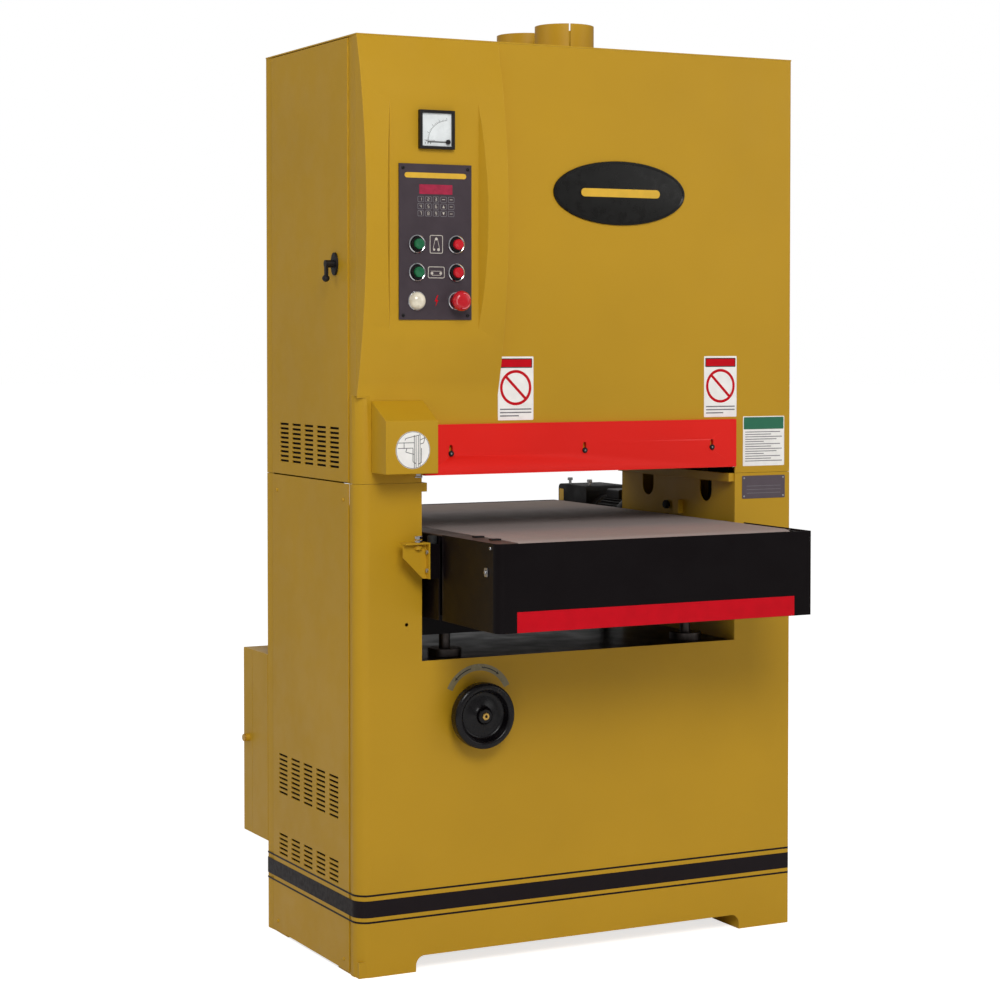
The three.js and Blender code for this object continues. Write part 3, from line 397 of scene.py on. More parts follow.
class Piece:
    """One visible piece, drawn in millimetres."""

    def __init__(self, name):
        self.name = name
        self.bm = bmesh.new()

    def loft(self, loops, closed=False):
        """Joins loops of the same number of points, side by side, and closes the two ends."""
        rings = [[self.bm.verts.new(point) for point in loop] for loop in loops]
        pairs = list(zip(rings, rings[1:] + rings[:1] if closed else rings[1:]))
        for first, second in pairs:
            for i, vertex in enumerate(first):
                after = (i + 1) % len(first)
                self.bm.faces.new((vertex, first[after], second[after], second[i]))
        if not closed:
            self.bm.faces.new(rings[0])
            self.bm.faces.new(rings[-1][::-1])
        return self

    def prism(self, outline, axis, start, end):
        """An outline drawn out from start to end."""
        return self.loft([[at(axis, u, v, w) for u, v in outline] for w in (start, end)])

    def block(self, x0, x1, y0, y1, z0, z1):
        """A square-edged box."""
        return self.prism(rectangle(x0, x1, z0, z1), "y", y0, y1)

    def band(self, outer, inner, axis, start, end):
        """The band between two outlines with the same number of points, drawn out."""
        loops = [(outer, start), (outer, end), (inner, end), (inner, start)]
        return self.loft([[at(axis, u, v, w) for u, v in outline] for outline, w in loops], closed=True)

    def lathe(self, profile, axis, centre, steps=64):
        """A profile of (radius, station) points turned about an axis; the ends are closed if off it."""
        solid = profile[0] != profile[-1]
        stations = profile if solid else profile[:-1]
        loops = [[at(axis, *point, station) for point in circle(centre, max(radius, 0.02), steps)]
                 for radius, station in stations]
        return self.loft(loops, closed=not solid)

    def done(self, finish, body="cabinet", bevel=0.0, replaces=()):
        """Makes the object, which rides on a body, mostly the cabinet, and may stand for CAD nodes."""
        bmesh.ops.recalc_face_normals(self.bm, faces=self.bm.faces)
        mesh = bpy.data.meshes.new(self.name)
        self.bm.to_mesh(mesh)
        self.bm.free()
        mesh.transform(Matrix.Scale(MM, 4))
        mesh.materials.append(finish.material)
        mesh.polygons.foreach_set("use_smooth", [True] * len(mesh.polygons))
        mesh.set_sharp_from_angle(angle=SHARP)
        piece = bpy.data.objects.new(self.name, mesh)
        bpy.context.scene.collection.objects.link(piece)
        if bevel:
            soften(piece, bevel)
        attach(piece, body)
        if replaces:
            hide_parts(*replaces)
        return piece


def soften(piece, width):
    """Rounds the sharp edges of a piece by a width in millimetres."""
    bevel = piece.modifiers.new("rounded_edges", "BEVEL")
    bevel.width = width * MM
    bevel.segments = 2
    bevel.limit_method = "ANGLE"
    bevel.angle_limit = SHARP
    even = piece.modifiers.new("even_shading", "WEIGHTED_NORMAL")
    even.keep_sharp = True


def dress(node, finish, width):
    """Gives a CAD node its finish and rounds its edges; its own vertices stay as packed."""
    shown = frame["nodes"][node]
    mesh = shown.data
    mesh.materials.clear()
    mesh.materials.append(finish.material)
    for attribute in ("custom_normal", "sharp_edge", "sharp_face"):
        if attribute in mesh.attributes:
            mesh.attributes.remove(mesh.attributes[attribute])
    weld = shown.modifiers.new("joined_facets", "WELD")
    weld.merge_threshold = 0.00001
    flat = shown.modifiers.new("whole_faces", "DECIMATE")
    flat.decimate_type = "DISSOLVE"
    flat.angle_limit = math.radians(0.5)
    soften(shown, width)


SHEET_NODES = ["lower_front_panel", "lower_rear_panel", "left_side_panel", "right_side_panel",
               "left_head_door", "right_head_door", "head_front_cover", "head_rear_cover",
               "head_top_cover", "base_pan", "left_column_liner", "right_column_liner",
               "electrical_box", "electrical_box_door", "gauge_bracket"]
CORNER_PAIRS = ["front_left", "front_right", "rear_left", "rear_right"]
DRESSED = (
    [(node, MUSTARD, 0.8) for node in SHEET_NODES]
    + [("gauge_housing", MUSTARD, 2.0), ("red_guard_strip", RED, 1.0), ("sill_deck", BLACK, 0.6),
       ("bed_frame", BLACK, 0.8), ("stop_panel", BLACK, 0.9), ("control_plate", PLATE, 0.5),
       ("ammeter_housing", PLASTIC, 0.9), ("meter_needle", PRINT_BLACK, 0.15),
       ("left_door_latch", PLASTIC, 0.8), ("right_door_latch", PLASTIC, 0.8),
       ("head_frame", CAST, 1.5), ("tension_yoke", CAST, 1.2), ("tension_cylinder", STEEL, 0.8),
       ("main_motor", CAST_BLACK, 1.5), ("motor_rotor", DARK_STEEL, 0.8),
       ("drive_belts", RUBBER, 1.0), ("lift_chain", DARK_STEEL, 0.5), ("lift_gearbox", CAST, 2.0),
       ("conveyor_drive_roller", STEEL, 0.8), ("conveyor_idler_roller", STEEL, 0.8)]
    + [(f"lift_screw_{corner}", DARK_STEEL, 0.5) for corner in CORNER_PAIRS]
    + [(f"lift_nut_{corner}", DARK_STEEL, 0.8) for corner in CORNER_PAIRS]
)


# ---------------------------------------------------------------- cabinet details
def base_plan(skin):
    """The cabinet's plan, from rear left round the front to rear right, a skin outside its walls."""
    left, right, front = LEFT - skin, RIGHT + skin, FRONT - skin
    big, small = CORNER_RADIUS + skin, 3 + skin
    return ([(left, REAR)] + arc((left + big, front + big), big, 180, 270, 10)
            + arc((right - small, front + small), small, 270, 360, 4) + [(right, REAR)])


STRIPE_HEIGHTS = ((125, 160), (113, 117), (169, 173))


def base_stripes():
    """One broad and two narrow lines of black tape round the foot of the cabinet."""
    stripes = Piece("base_stripes")
    for low, high in STRIPE_HEIGHTS:
        outline = base_plan(SKIN) + base_plan(0.05)[::-1]
        stripes.prism(outline, "z", low, high)
    stripes.done(VINYL)


def screw(piece, axis, centre, face, out, radius=4.5):
    """A domed screw head on a face, with a round-bottomed socket; out is the way it points."""
    profile = [(radius, 0), (radius, 1.2), (radius * 0.85, 2.2), (radius * 0.45, 2.6),
               (radius * 0.42, 1.2), (0, 1.2)]
    return piece.lathe([(r, face + out * h) for r, h in profile], axis, centre, 20)


def panel_screws():
    """Screws at the corners of the lower side panels and along the rear cover."""
    sides = Piece("side_panel_screws")
    for y in (-178, 190):
        for z in (27, 990):
            screw(sides, "x", (y, z), LEFT, -1, 4)
            screw(sides, "x", (y, z), RIGHT, 1, 4)
    sides.done(MUSTARD)
    back = Piece("rear_cover_screws")
    for x in (-505, 505):
        for z in (60, 240, 640, 985, 1060, 1350, 1640, 1920):
            screw(back, "y", (x, z), REAR, 1, 4)
    back.done(DARK_STEEL)


def pressed_louvers(name, body, x_face, out, y_first, pitch_y, z_first, pitch_z, rows):
    """Banks of pressed hoods on a plain side, open underneath."""
    hoods = Piece(name)
    length, depth, height = 49, 4.5, 6.5
    for column in range(5):
        for row in range(rows):
            y, z = y_first + column * pitch_y, z_first + row * pitch_z
            loops = []
            for share, rise in ((0, 0.15), (0.06, 0.8), (0.5, 1.0), (0.94, 0.8), (1, 0.15)):
                place = y + length * share
                loops.append([(x_face, place, z + height), (x_face + out * depth * rise, place, z + 1),
                              (x_face + out * depth * rise * 0.8, place, z), (x_face, place, z)])
            hoods.loft(loops)
    hoods.done(MUSTARD, body)


def right_louvers():
    """Three banks of pressed louvers on the right side."""
    pressed_louvers("right_upper_louvers", "right_head_door", RIGHT, 1, -156, 69.25, 1054, 10.1, 9)
    pressed_louvers("right_middle_louvers", "cabinet", RIGHT, 1, -149, 70.5, 316, 10.45, 9)
    pressed_louvers("right_lower_louvers", "cabinet", RIGHT, 1, -149, 70.5, 180, 10.45, 5)


def louver_shade_sheets():
    """Dark sheets behind the open louvers, inside the door and the lower left panel: painted shade for the
    dark inside of the cabinet.
    """
    for name, body, z0, z1 in (("door_louver_shade_sheet", "left_head_door", 1048, 1148),
                               ("upper_louver_shade_sheet", "cabinet", 310, 410),
                               ("lower_louver_shade_sheet", "cabinet", 174, 234)):
        mesh = Piece(name)
        mesh.block(LEFT + 3.1, LEFT + 3.9, -156, 190, z0, z1)
        mesh.done(LOUVER_SHADE, body)


DUCT = (28, -110)
DUCT_OUTER, DUCT_INNER = 65, 62


def dust_collars():
    """Two rolled tubes on the roof; the front one has an open seam."""
    low, high = corners("dust_port_front")
    seam, gap = 252, 1.6
    opening = (seam + gap, seam + 360 - gap)
    outline = arc(DUCT, DUCT_OUTER, *opening, 120) + arc(DUCT, DUCT_INNER, *opening[::-1], 120)
    collar = Piece("front_dust_collar")
    collar.prism(outline, "z", low.z, high.z)
    collar.done(MUSTARD, "cabinet", 0.5, ["dust_port_front"])
    low, high = corners("dust_port_rear")
    centre = ((low.x + high.x) / 2, (low.y + high.y) / 2)
    rear = Piece("rear_dust_collar")
    rear.band(circle(centre, DUCT_OUTER, 120), circle(centre, DUCT_INNER, 120), "z", low.z, high.z)
    rear.done(MUSTARD, "cabinet", 0.5, ["dust_port_rear"])
    rims = Piece("collar_weld_rims")
    for middle in (DUCT, centre):
        rims.lathe([(DUCT_OUTER + 0.2, ROOF), (DUCT_OUTER + 3, ROOF), (DUCT_OUTER + 2, ROOF + 1.6),
                    (DUCT_OUTER + 0.2, ROOF + 3), (DUCT_OUTER + 0.2, ROOF)], "z", middle, 96)
    rims.done(MUSTARD)


def badge():
    """A blank domed oval badge with a raised rim and one plain gold bar."""
    centre, wide, tall = (88, 1639), 163.5, 69
    profile = [(0, 1, 0.1), (0, 1, 3.2), (1.2, 1, 4.6), (3.2, 1, 4.8), (5.2, 1, 3.4), (6.4, 1, 2.6)]
    domed = (0.95, 0.85, 0.7, 0.5, 0.3, 0.1, 0.002)
    profile += [(6.4, share, 2.6 + 3.6 * (1 - share ** 2)) for share in domed]
    oval = Piece("oval_badge")
    loops = []
    for inset, share, height in profile:
        turns = [math.radians(step * 3.75) for step in range(96)]
        loops.append([(centre[0] + (wide - inset) * share * math.cos(turn), FRONT - height,
                       centre[1] + (tall - inset) * share * math.sin(turn)) for turn in turns])
    oval.loft(loops)
    oval.done(BADGE_BLACK)
    bar = Piece("badge_gold_bar")
    bar.prism(rounded(centre[0] - 98, centre[0] + 98, centre[1] - 9, centre[1] + 9, 8.8, 8), "y",
              FRONT - 5.2, FRONT - 7.0)
    bar.done(PRINT_GOLD, "cabinet", 0.4)


def print_lines(piece, x0, x1, rows, height, face, shares):
    """Rows of plain grey lines, as long as the given shares of the width."""
    for row, z in enumerate(rows):
        share = shares[row % len(shares)]
        piece.prism(rectangle(x0, x0 + (x1 - x0) * share, z, z + height), "y", face, face - 0.15)
    return piece


CARD_WIDTH, CARD_HEIGHT = 85, 135


def warning_card(side, x0, z0):
    """A white card with a red header, a plain barred ring and grey lines; no words or picture."""
    x1, z1 = x0 + CARD_WIDTH, z0 + CARD_HEIGHT
    face = FRONT - 0.5
    card = Piece(f"{side}_card")
    card.prism(rounded(x0, x1, z0, z1, 2), "y", FRONT - 0.05, face)
    card.done(WHITE)
    dark = Piece(f"{side}_card_header_edge")
    dark.prism(rounded(x0 + 3, x1 - 3, z1 - 24, z1 - 4, 2), "y", face, face - 0.12)
    dark.done(PRINT_BLACK)
    red = Piece(f"{side}_card_red_print")
    red.prism(rounded(x0 + 5, x1 - 5, z1 - 22, z1 - 6, 2), "y", face - 0.12, face - 0.3)
    middle = ((x0 + x1) / 2, z0 + 69)
    red.band(circle(middle, 37.5, 64), circle(middle, 31.5, 64), "y", face, face - 0.3)
    slope = 32 * math.sqrt(0.5)
    red.prism(stroke((middle[0] - slope, middle[1] + slope), (middle[0] + slope, middle[1] - slope), 6),
              "y", face, face - 0.28)
    red.done(PRINT_RED)
    lines = Piece(f"{side}_card_lines")
    print_lines(lines, x0 + 5, x1 - 5, [z0 + 22, z0 + 15, z0 + 8], 2.6, face, (1, 1, 0.6))
    lines.done(PRINT_GREY)


def rule_card():
    """A white notice with a green header and rows of plain lines."""
    x0, x1, z0, z1 = 407, 517, 1040, 1151
    face = FRONT - 0.5
    card = Piece("notice_card")
    card.prism(rounded(x0, x1, z0, z1, 1.5), "y", FRONT - 0.05, face)
    card.done(WHITE)
    head = Piece("notice_green_header")
    head.prism(rounded(x0 + 2, x1 - 2, z1 - 29, z1 - 2, 1.5), "y", face, face - 0.2)
    head.done(PRINT_GREEN)
    lines = Piece("notice_lines")
    rows = [z1 - 36 - 5.4 * row for row in range(13)]
    print_lines(lines, x0 + 6, x1 - 6, rows, 1.8, face, (0.95, 0.7, 1, 0.85, 0.5))
    lines.done(PRINT_GREY)


def name_plate():
    """A blank grey plate held by four drive pins."""
    x0, x1, z0, z1 = 405, 519, 967, 1018
    plate = Piece("blank_plate")
    plate.prism(rounded(x0, x1, z0, z1, 2), "y", FRONT - 0.05, FRONT - 1.0)
    plate.done(FOIL, "cabinet", 0.2)
    lines = Piece("blank_plate_lines")
    for z in (979, 987, 995):
        lines.prism(stroke((x0 + 12, z), (x1 - 12, z), 0.9), "y", FRONT - 1.0, FRONT - 1.15)
    lines.done(PRINT_GREY)
    pins = Piece("blank_plate_pins")
    pin = [(2, FRONT - 1), (2, FRONT - 1.6), (1.2, FRONT - 2.1), (0, FRONT - 2.2)]
    for x in (x0 + 5, x1 - 5):
        for z in (z0 + 5, z1 - 5):
            pins.lathe(pin, "y", (x, z), 16)
    pins.done(STEEL)


# ---------------------------------------------------------------- guard strip and gauge
def strip_screws():
    """A black screw with a bright socket low in each of the guard strip's three slots."""
    heads = Piece("strip_screw_heads")
    sockets = Piece("strip_screw_sockets")
    face = STRIP_LOW.y
    for x in (-323, -3, 319):
        heads.lathe([(6, face - 0.1), (6, face - 2.5), (4.6, face - 4.2), (2.6, face - 4.4),
                     (2.4, face - 2.6), (0, face - 2.6)], "y", (x, 1085), 28)
        sockets.lathe([(2.3, face - 2.6), (2.2, face - 3.2), (0, face - 3.4)], "y", (x, 1085), 6)
    heads.done(PLASTIC)
    sockets.done(STEEL)


def gauge_sticker():
    """A round white sticker with a plain line drawing of a slide gauge over a board."""
    centre = (-441, 1097.5)
    face = NOSE_LOW.y - 0.4
    disc = Piece("gauge_sticker")
    disc.lathe([(38.5, NOSE_LOW.y - 0.05), (38.5, face), (0, face)], "y", centre, 72)
    disc.done(WHITE)
    ink = Piece("gauge_sticker_lines")
    ink.band(circle(centre, 37.8, 72), circle(centre, 36.9, 72), "y", face, face - 0.15)
    x, z = centre
    lines = [((-34, 15), (4, 15)), ((-34, 4), (0, 4)), ((-20, 16), (-20, 3)),
             ((3, 30), (3, -37)), ((16, 32), (16, -33)), ((7, 28), (7, -36)), ((12, 30), (12, -34)),
             ((-16, 24), (16, 31)), ((-18, 20), (-16, 24)), ((-16, -4), (3, -9)), ((-16, -4), (-14, 3)),
             ((16, 20), (27, 25)), ((27, 25), (24, 14)), ((24, 14), (16, 12)),
             ((0, 4), (0, -24)), ((0, -24), (7, -28)), ((19, 4), (19, -26)), ((19, -26), (12, -29))]
    for start, end in lines:
        begin = (x + start[0], z + start[1])
        finish_point = (x + end[0], z + end[1])
        ink.prism(stroke(begin, finish_point, 1.2), "y", face, face - 0.12)
    ink.done(PRINT_BLACK)


def plunger():
    """The gauge's bright plunger, with a ridged foot."""
    low, high = corners("gauge_plunger")
    centre = ((low.x + high.x) / 2, (low.y + high.y) / 2)
    profile = [(0, low.z), (8, low.z), (9, low.z + 1), (9, low.z + 3), (8, low.z + 4), (6, low.z + 4.5),
               (6, high.z), (0, high.z)]
    pin = Piece("gauge_plunger_pin")
    pin.lathe(profile, "z", centre, 40)
    pin.done(CHROME, "gauge_plunger", 0, ["gauge_plunger"])


# ---------------------------------------------------------------- control panel
PANEL_FACE = PLATE_LOW.y
STATIONS = {
    "sander_start_button": (-413, 1520), "sander_stop_button": (-323, 1520),
    "feed_start_button": (-413, 1462), "feed_stop_button": (-323, 1462),
}
SEVEN_SEGMENTS = {"a": ((0, 2), (1, 2)), "b": ((1, 2), (1, 1)), "c": ((1, 1), (1, 0)), "d": ((0, 0), (1, 0)),
                  "e": ((0, 0), (0, 1)), "f": ((0, 1), (0, 2)), "g": ((0, 1), (1, 1))}
DIGITS = ["abcdef", "bc", "abged", "abgcd", "fgbc", "afgcd", "afgedc", "abc", "abcdefg", "abcdfg"]


def bezel(piece, centre):
    """A round chrome bezel on the control plate."""
    face = PANEL_FACE
    piece.lathe([(19, face), (19.4, face - 1.6), (18.8, face - 4.2), (17.2, face - 5.4),
                 (15.6, face - 4.8), (14.6, face - 2.4), (14.6, face), (19, face)], "y", centre, 64)


def push_buttons():
    """Four flush push buttons, each in a chrome bezel with a black collar."""
    rings = Piece("button_bezels")
    collars = Piece("button_collars")
    for name, centre in STATIONS.items():
        bezel(rings, centre)
        face = PANEL_FACE
        collars.lathe([(11.7, face), (14.4, face), (14.2, face - 9.5), (13.2, face - 11.6),
                       (11.7, face - 11.4), (11.7, face)], "y", centre, 48)
        low, high = corners(name)
        top = low.y
        cap = Piece(f"{name}_cap")
        cap.lathe([(0, top + 0.9), (6, top + 0.7), (9.2, top), (10.3, top + 0.3), (11, top + 1.6),
                   (11, high.y), (0, high.y)], "y", centre, 48)
        red = "stop" in name
        cap.done(RED_CAP if red else GREEN, name, 0, [name])
    bezel(rings, (-323, 1403))
    rings.done(CHROME)
    collars.done(PLASTIC)


def emergency_stop():
    """The red mushroom button, with three pink arcs on its head that are painted highlights."""
    low, high = corners("emergency_stop_button")
    centre = ((low.x + high.x) / 2, (low.z + high.z) / 2)
    top = low.y
    head = eased([(0.1, top), (8, top + 0.3), (14, top + 1.4), (18, top + 4.2), (20.6, top + 8.6),
                  (21, top + 12), (19.4, top + 14.8), (13, top + 15.6)])
    mushroom = Piece("emergency_stop_mushroom")
    mushroom.lathe(head + [(10.5, top + 17), (10.5, high.y), (0, high.y)], "y", centre, 72)
    mushroom.done(RED_CAP, "emergency_stop_button", 0, ["emergency_stop_button"])
    marks = Piece("emergency_stop_painted_highlights")
    # Three pink arcs, each a painted highlight on the glossy red head.
    for start in (20, 140, 260):
        outline = arc(centre, 16.4, start, start + 70, 14) + arc(centre, 14.8, start + 70, start, 14)
        loops = [[(x, top + height, z) for x, z in outline] for height in (3.0, 1.6)]
        marks.loft(loops)
    marks.done(PINK_HIGHLIGHT, "emergency_stop_button")


def pilot_lamp():
    """A cream dome in a chrome ring."""
    low, high = corners("pilot_lamp")
    centre = ((low.x + high.x) / 2, (low.z + high.z) / 2)
    top = low.y
    dome = eased([(0.1, top), (5, top + 0.5), (10, top + 2.2), (14.6, top + 5.4), (17.2, top + 9.5),
                  (18, top + 13), (18, high.y)])
    lamp = Piece("pilot_lamp_dome")
    lamp.lathe(dome + [(0, high.y)], "y", centre, 64)
    lamp.done(LAMP, "cabinet", 0, ["pilot_lamp"])
    ring = Piece("pilot_lamp_ring")
    face = PANEL_FACE
    ring.lathe([(18.2, face), (20, face), (20, face - 2.4), (19, face - 3.4), (18.2, face - 3.2),
                (18.2, face)], "y", centre, 64)
    ring.done(CHROME)


def keypad():
    """A red display over fifteen membrane keys; digits and arrows only."""
    face = PANEL_FACE
    window = Piece("display_window")
    window.prism(rounded(-407, -331, 1623, 1643, 1.5), "y", face - 0.05, face - 0.6)
    window.done(DISPLAY, "cabinet", 0.15)
    keys = Piece("keypad_frames")
    signs = Piece("keypad_signs")
    for row in range(3):
        for column in range(5):
            x, z = -410.5 + 17.4 * column, 1606.5 - 14.6 * row
            outer = rounded(x, x + 14.2, z, z + 12, 2)
            inner = rounded(x + 0.9, x + 13.3, z + 0.9, z + 11.1, 1.3)
            keys.band(outer, inner, "y", face - 0.05, face - 0.3)
            if column < 3:
                digit_strokes(signs, 1 + row * 3 + column, (x + 5.4, z + 3), face)
            elif column == 3 and row:
                tip = 9 if row == 1 else 3
                foot = 12 - tip
                signs.prism([(x + 4.4, z + foot), (x + 9.8, z + foot), (x + 7.1, z + tip)], "y",
                            face - 0.05, face - 0.3)
            else:
                signs.prism(stroke((x + 4, z + 6), (x + 10.2, z + 6), 1.2), "y", face - 0.05, face - 0.3)
    keys.done(PRINT_GREY)
    signs.done(PRINT_LIGHT)


def digit_strokes(piece, digit, corner, face):
    """A digit in straight strokes, from its lower left corner."""
    for segment in DIGITS[digit]:
        ends = [(corner[0] + 3.4 * x, corner[1] + 3 * z) for x, z in SEVEN_SEGMENTS[segment]]
        piece.prism(stroke(*ends, 0.8), "y", face - 0.05, face - 0.3)


def panel_graphics():
    """Two framed pictograms, a lightning mark, a plain gold line and four screws."""
    face = PANEL_FACE
    frames = Piece("pictogram_frames")
    for x0, x1, z0, z1 in ((-383, -353, 1501, 1539), (-387, -349, 1450, 1474)):
        frames.band(rounded(x0, x1, z0, z1, 3.5), rounded(x0 + 1.4, x1 - 1.4, z0 + 1.4, z1 - 1.4, 2.4),
                    "y", face - 0.05, face - 0.3)
    frames.done(PRINT_LIGHT)
    signs = Piece("pictogram_signs")
    dots = ((-368, 1531, 3), (-373, 1509, 2.4), (-363, 1509, 3), (-378, 1460, 3), (-358, 1460, 3))
    for x, z, radius in dots:
        signs.prism(circle((x, z), radius, 20), "y", face - 0.05, face - 0.3)
    for start, end in (((-371, 1530), (-375.5, 1510)), ((-365, 1530), (-360.5, 1510)),
                       ((-380, 1464.5), (-356, 1464.5)), ((-378, 1456), (-358, 1456))):
        signs.prism(stroke(start, end, 0.9), "y", face - 0.05, face - 0.25)
    signs.done(PRINT_LIGHT)
    bolt = Piece("lightning_mark")
    bolt.prism([(-366, 1415), (-372, 1402), (-368, 1402), (-370, 1391), (-363.5, 1405), (-367.5, 1405),
                (-363.5, 1415)], "y", face - 0.05, face - 0.3)
    bolt.done(PRINT_RED)
    line = Piece("panel_gold_line")
    line.prism(rounded(-440, -299, 1656, 1667, 5.4), "y", face - 0.05, face - 0.3)
    line.done(PRINT_GOLD)
    screws = Piece("panel_screws")
    for x in (PLATE_LOW.x + 9, PLATE_HIGH.x - 9):
        for z in (PLATE_LOW.z + 9, PLATE_HIGH.z - 9):
            screw(screws, "y", (x, z), face, -1, 3.4)
    screws.done(PLASTIC)


def ammeter():
    """The dial behind the needle: a quarter-circle scale about the pivot, and a pivot cover."""
    rim, depth = 6, 6
    x0, x1 = METER_LOW.x + rim, METER_HIGH.x - rim
    z0, z1 = METER_LOW.z + rim, METER_HIGH.z - rim
    face = METER_LOW.y + depth - 0.4
    dial = Piece("ammeter_dial")
    dial.prism(rounded(x0 + 0.3, x1 - 0.3, z0 + 0.3, z1 - 0.3, 1), "y", METER_LOW.y + depth - 0.05, face)
    dial.done(DIAL)
    pivot = ((METER_LOW.x + METER_HIGH.x) / 2 + 25, (METER_LOW.z + METER_HIGH.z) / 2 - 25)
    ink = Piece("ammeter_scale")
    ink.prism(arc(pivot, 44.6, 92, 178, 30) + arc(pivot, 44, 178, 92, 30), "y", face, face - 0.12)
    ticks = 20
    for tick in range(ticks + 1):
        angle = math.radians(92 + 86 * tick / ticks)
        reach = 50 if tick % 5 == 0 else 47.2
        start = (pivot[0] + 44 * math.cos(angle), pivot[1] + 44 * math.sin(angle))
        end = (pivot[0] + reach * math.cos(angle), pivot[1] + reach * math.sin(angle))
        ink.prism(stroke(start, end, 0.5 if tick % 5 else 0.8), "y", face, face - 0.12)
    ink.prism(stroke((x0 + 6, z0 + 12), (x0 + 30, z0 + 12), 0.7), "y", face, face - 0.12)
    for x in (x0 + 8, x0 + 14, x0 + 20):
        ink.prism(circle((x, z0 + 6), 1.2, 14), "y", face, face - 0.12)
    ink.done(PRINT_BLACK)
    cover = Piece("ammeter_pivot_cover")
    cover.lathe([(4.6, face), (5, METER_LOW.y + 0.9), (4, METER_LOW.y + 0.2), (0, METER_LOW.y)],
                "y", pivot, 32)
    cover.done(PLASTIC, "meter_needle")


# ---------------------------------------------------------------- conveyor bed
def belt_outline(radius, y, z, steps=28):
    """A loop round two rollers of one radius, at y and -y."""
    return arc((y, z), radius, -90, 90, steps) + arc((-y, z), radius, 90, 270, steps)


def conveyor():
    """The endless conveyor belt, smooth round its two rollers, with a thin lapped joint."""
    centre_z = (BELT_LOW.z + BELT_HIGH.z) / 2
    outer = (BELT_HIGH.z - BELT_LOW.z) / 2
    reach = BELT_HIGH.y - outer
    belt = Piece("conveyor_belt_skin")
    belt.band(belt_outline(outer, reach, centre_z), belt_outline(outer - 3, reach, centre_z), "x",
              BELT_LOW.x, BELT_HIGH.x)
    belt.done(BELT, "bed", 0.6, ["conveyor_belt"])
    lap = Piece("conveyor_belt_joint")
    top = BELT_HIGH.z
    section = ((-330, 0.02), (-329, 0.2), (-311, 0.2), (-310, 0.02))
    lap.loft([[(x, y + skew, top + lift) for y, lift in section]
              for x, skew in ((BELT_LOW.x + 1, 0), (BELT_HIGH.x - 1, 60))])
    lap.done(BELT, "bed")


def bed_edges():
    """A painted cover strip beside the belt, its guide tabs, and bolts along the right edge."""
    top = BED_HIGH.z
    strip = Piece("left_cover_strip")
    strip.block(-BED_HIGH.x + 4, BELT_LOW.x - 3, -545, 560, top, top + 2.6)
    strip.done(STRIP_PAINT, "bed", 0.6)
    tabs = Piece("belt_guide_tabs")
    for y in (-470, -395, 260):
        tabs.block(-338, -316, y - 7, y + 7, top + 2.6, top + 6)
    tabs.done(PLASTIC, "bed", 0.8)
    bolts = Piece("bed_edge_bolts")
    for y in (-500, -250, 0, 250, 500):
        screw(bolts, "z", (BED_HIGH.x - 9, y), top, 1, 4)
    bolts.done(DARK_STEEL, "bed")


def stop_panel_details():
    """The plain red strip, a screw and a small side latch; all move with the stop panel."""
    face = PANEL_LOW.y
    strip = Piece("stop_panel_red_strip")
    strip.prism(rounded(-328, 330, PANEL_LOW.z + 0.5, PANEL_LOW.z + 42, 1), "y", face - 0.05, face - 0.6)
    strip.done(PRINT_RED, "stop_panel", 0.15)
    screws = Piece("stop_panel_screw")
    screw(screws, "x", (-538, PANEL_HIGH.z - 10), PANEL_LOW.x, -1, 3.6)
    screws.done(STEEL, "stop_panel")
    catch = Piece("stop_panel_catch")
    x = PANEL_LOW.x
    catch.prism(rounded(-528, -514, 852, 870, 3), "x", x - 0.1, x - 2.2)
    catch.lathe([(4.2, x - 2.2), (4.2, x - 4.4), (3.2, x - 5.2), (0, x - 5.4)], "x", (-521, 861), 24)
    catch.done(STEEL, "stop_panel", 0.4)


def anvil():
    """The chrome anvil bolt of the thickness gauge, with a black rubber buffer beside it."""
    centre, low = (-413, -290), 904
    bolt = Piece("gauge_anvil_trim")
    bolt.lathe([(8.4, low + 0.1), (9.2, low + 1), (9.2, low + 4), (8.2, low + 5), (5.4, low + 5.4),
                (5.4, low + 6.6), (8.2, low + 7), (9, low + 8), (9, low + 13), (8, low + 14.3),
                (0, low + 14.4)], "z", centre, 40)
    bolt.done(CHROME, "bed")
    buffer = Piece("gauge_buffer")
    buffer.lathe([(0, low - 3.6), (9, low - 3.6), (10, low - 2.6), (10, low + 12), (8.6, low + 13.4),
                  (0, low + 13.6)], "z", (-380.5, -288), 36)
    buffer.done(RUBBER, "bed")
    nuts = Piece("gauge_bracket_bolts")
    edge = corners("gauge_bracket")[1].x
    for z in (846, 884):
        nuts.lathe([(0, edge - 3), (4.5, edge - 3), (4.5, edge - 6.4), (3.8, edge - 7), (0, edge - 7)], "x",
                   (-295, z), 6)
    nuts.done(STEEL, "bed")


def column_tab():
    """A small angle tab and a round stop on the right column, beside the table."""
    wall = corners("right_column_liner")[0].x + 14
    tab = Piece("column_tab")
    tab.block(wall - 12.5, wall - 0.2, -30, -27.6, 921, 953)
    tab.block(wall - 12.5, wall - 10.1, -27.8, -4, 921, 953)
    tab.done(MUSTARD, "cabinet", 0.5)
    stop = Piece("column_stop")
    stop.lathe([(0, wall - 12), (8, wall - 12), (10, wall - 10), (10, wall - 4), (6, wall - 3),
                (6, wall - 0.2), (0, wall - 0.2)], "x", (34, 938), 32)
    stop.done(RUBBER)


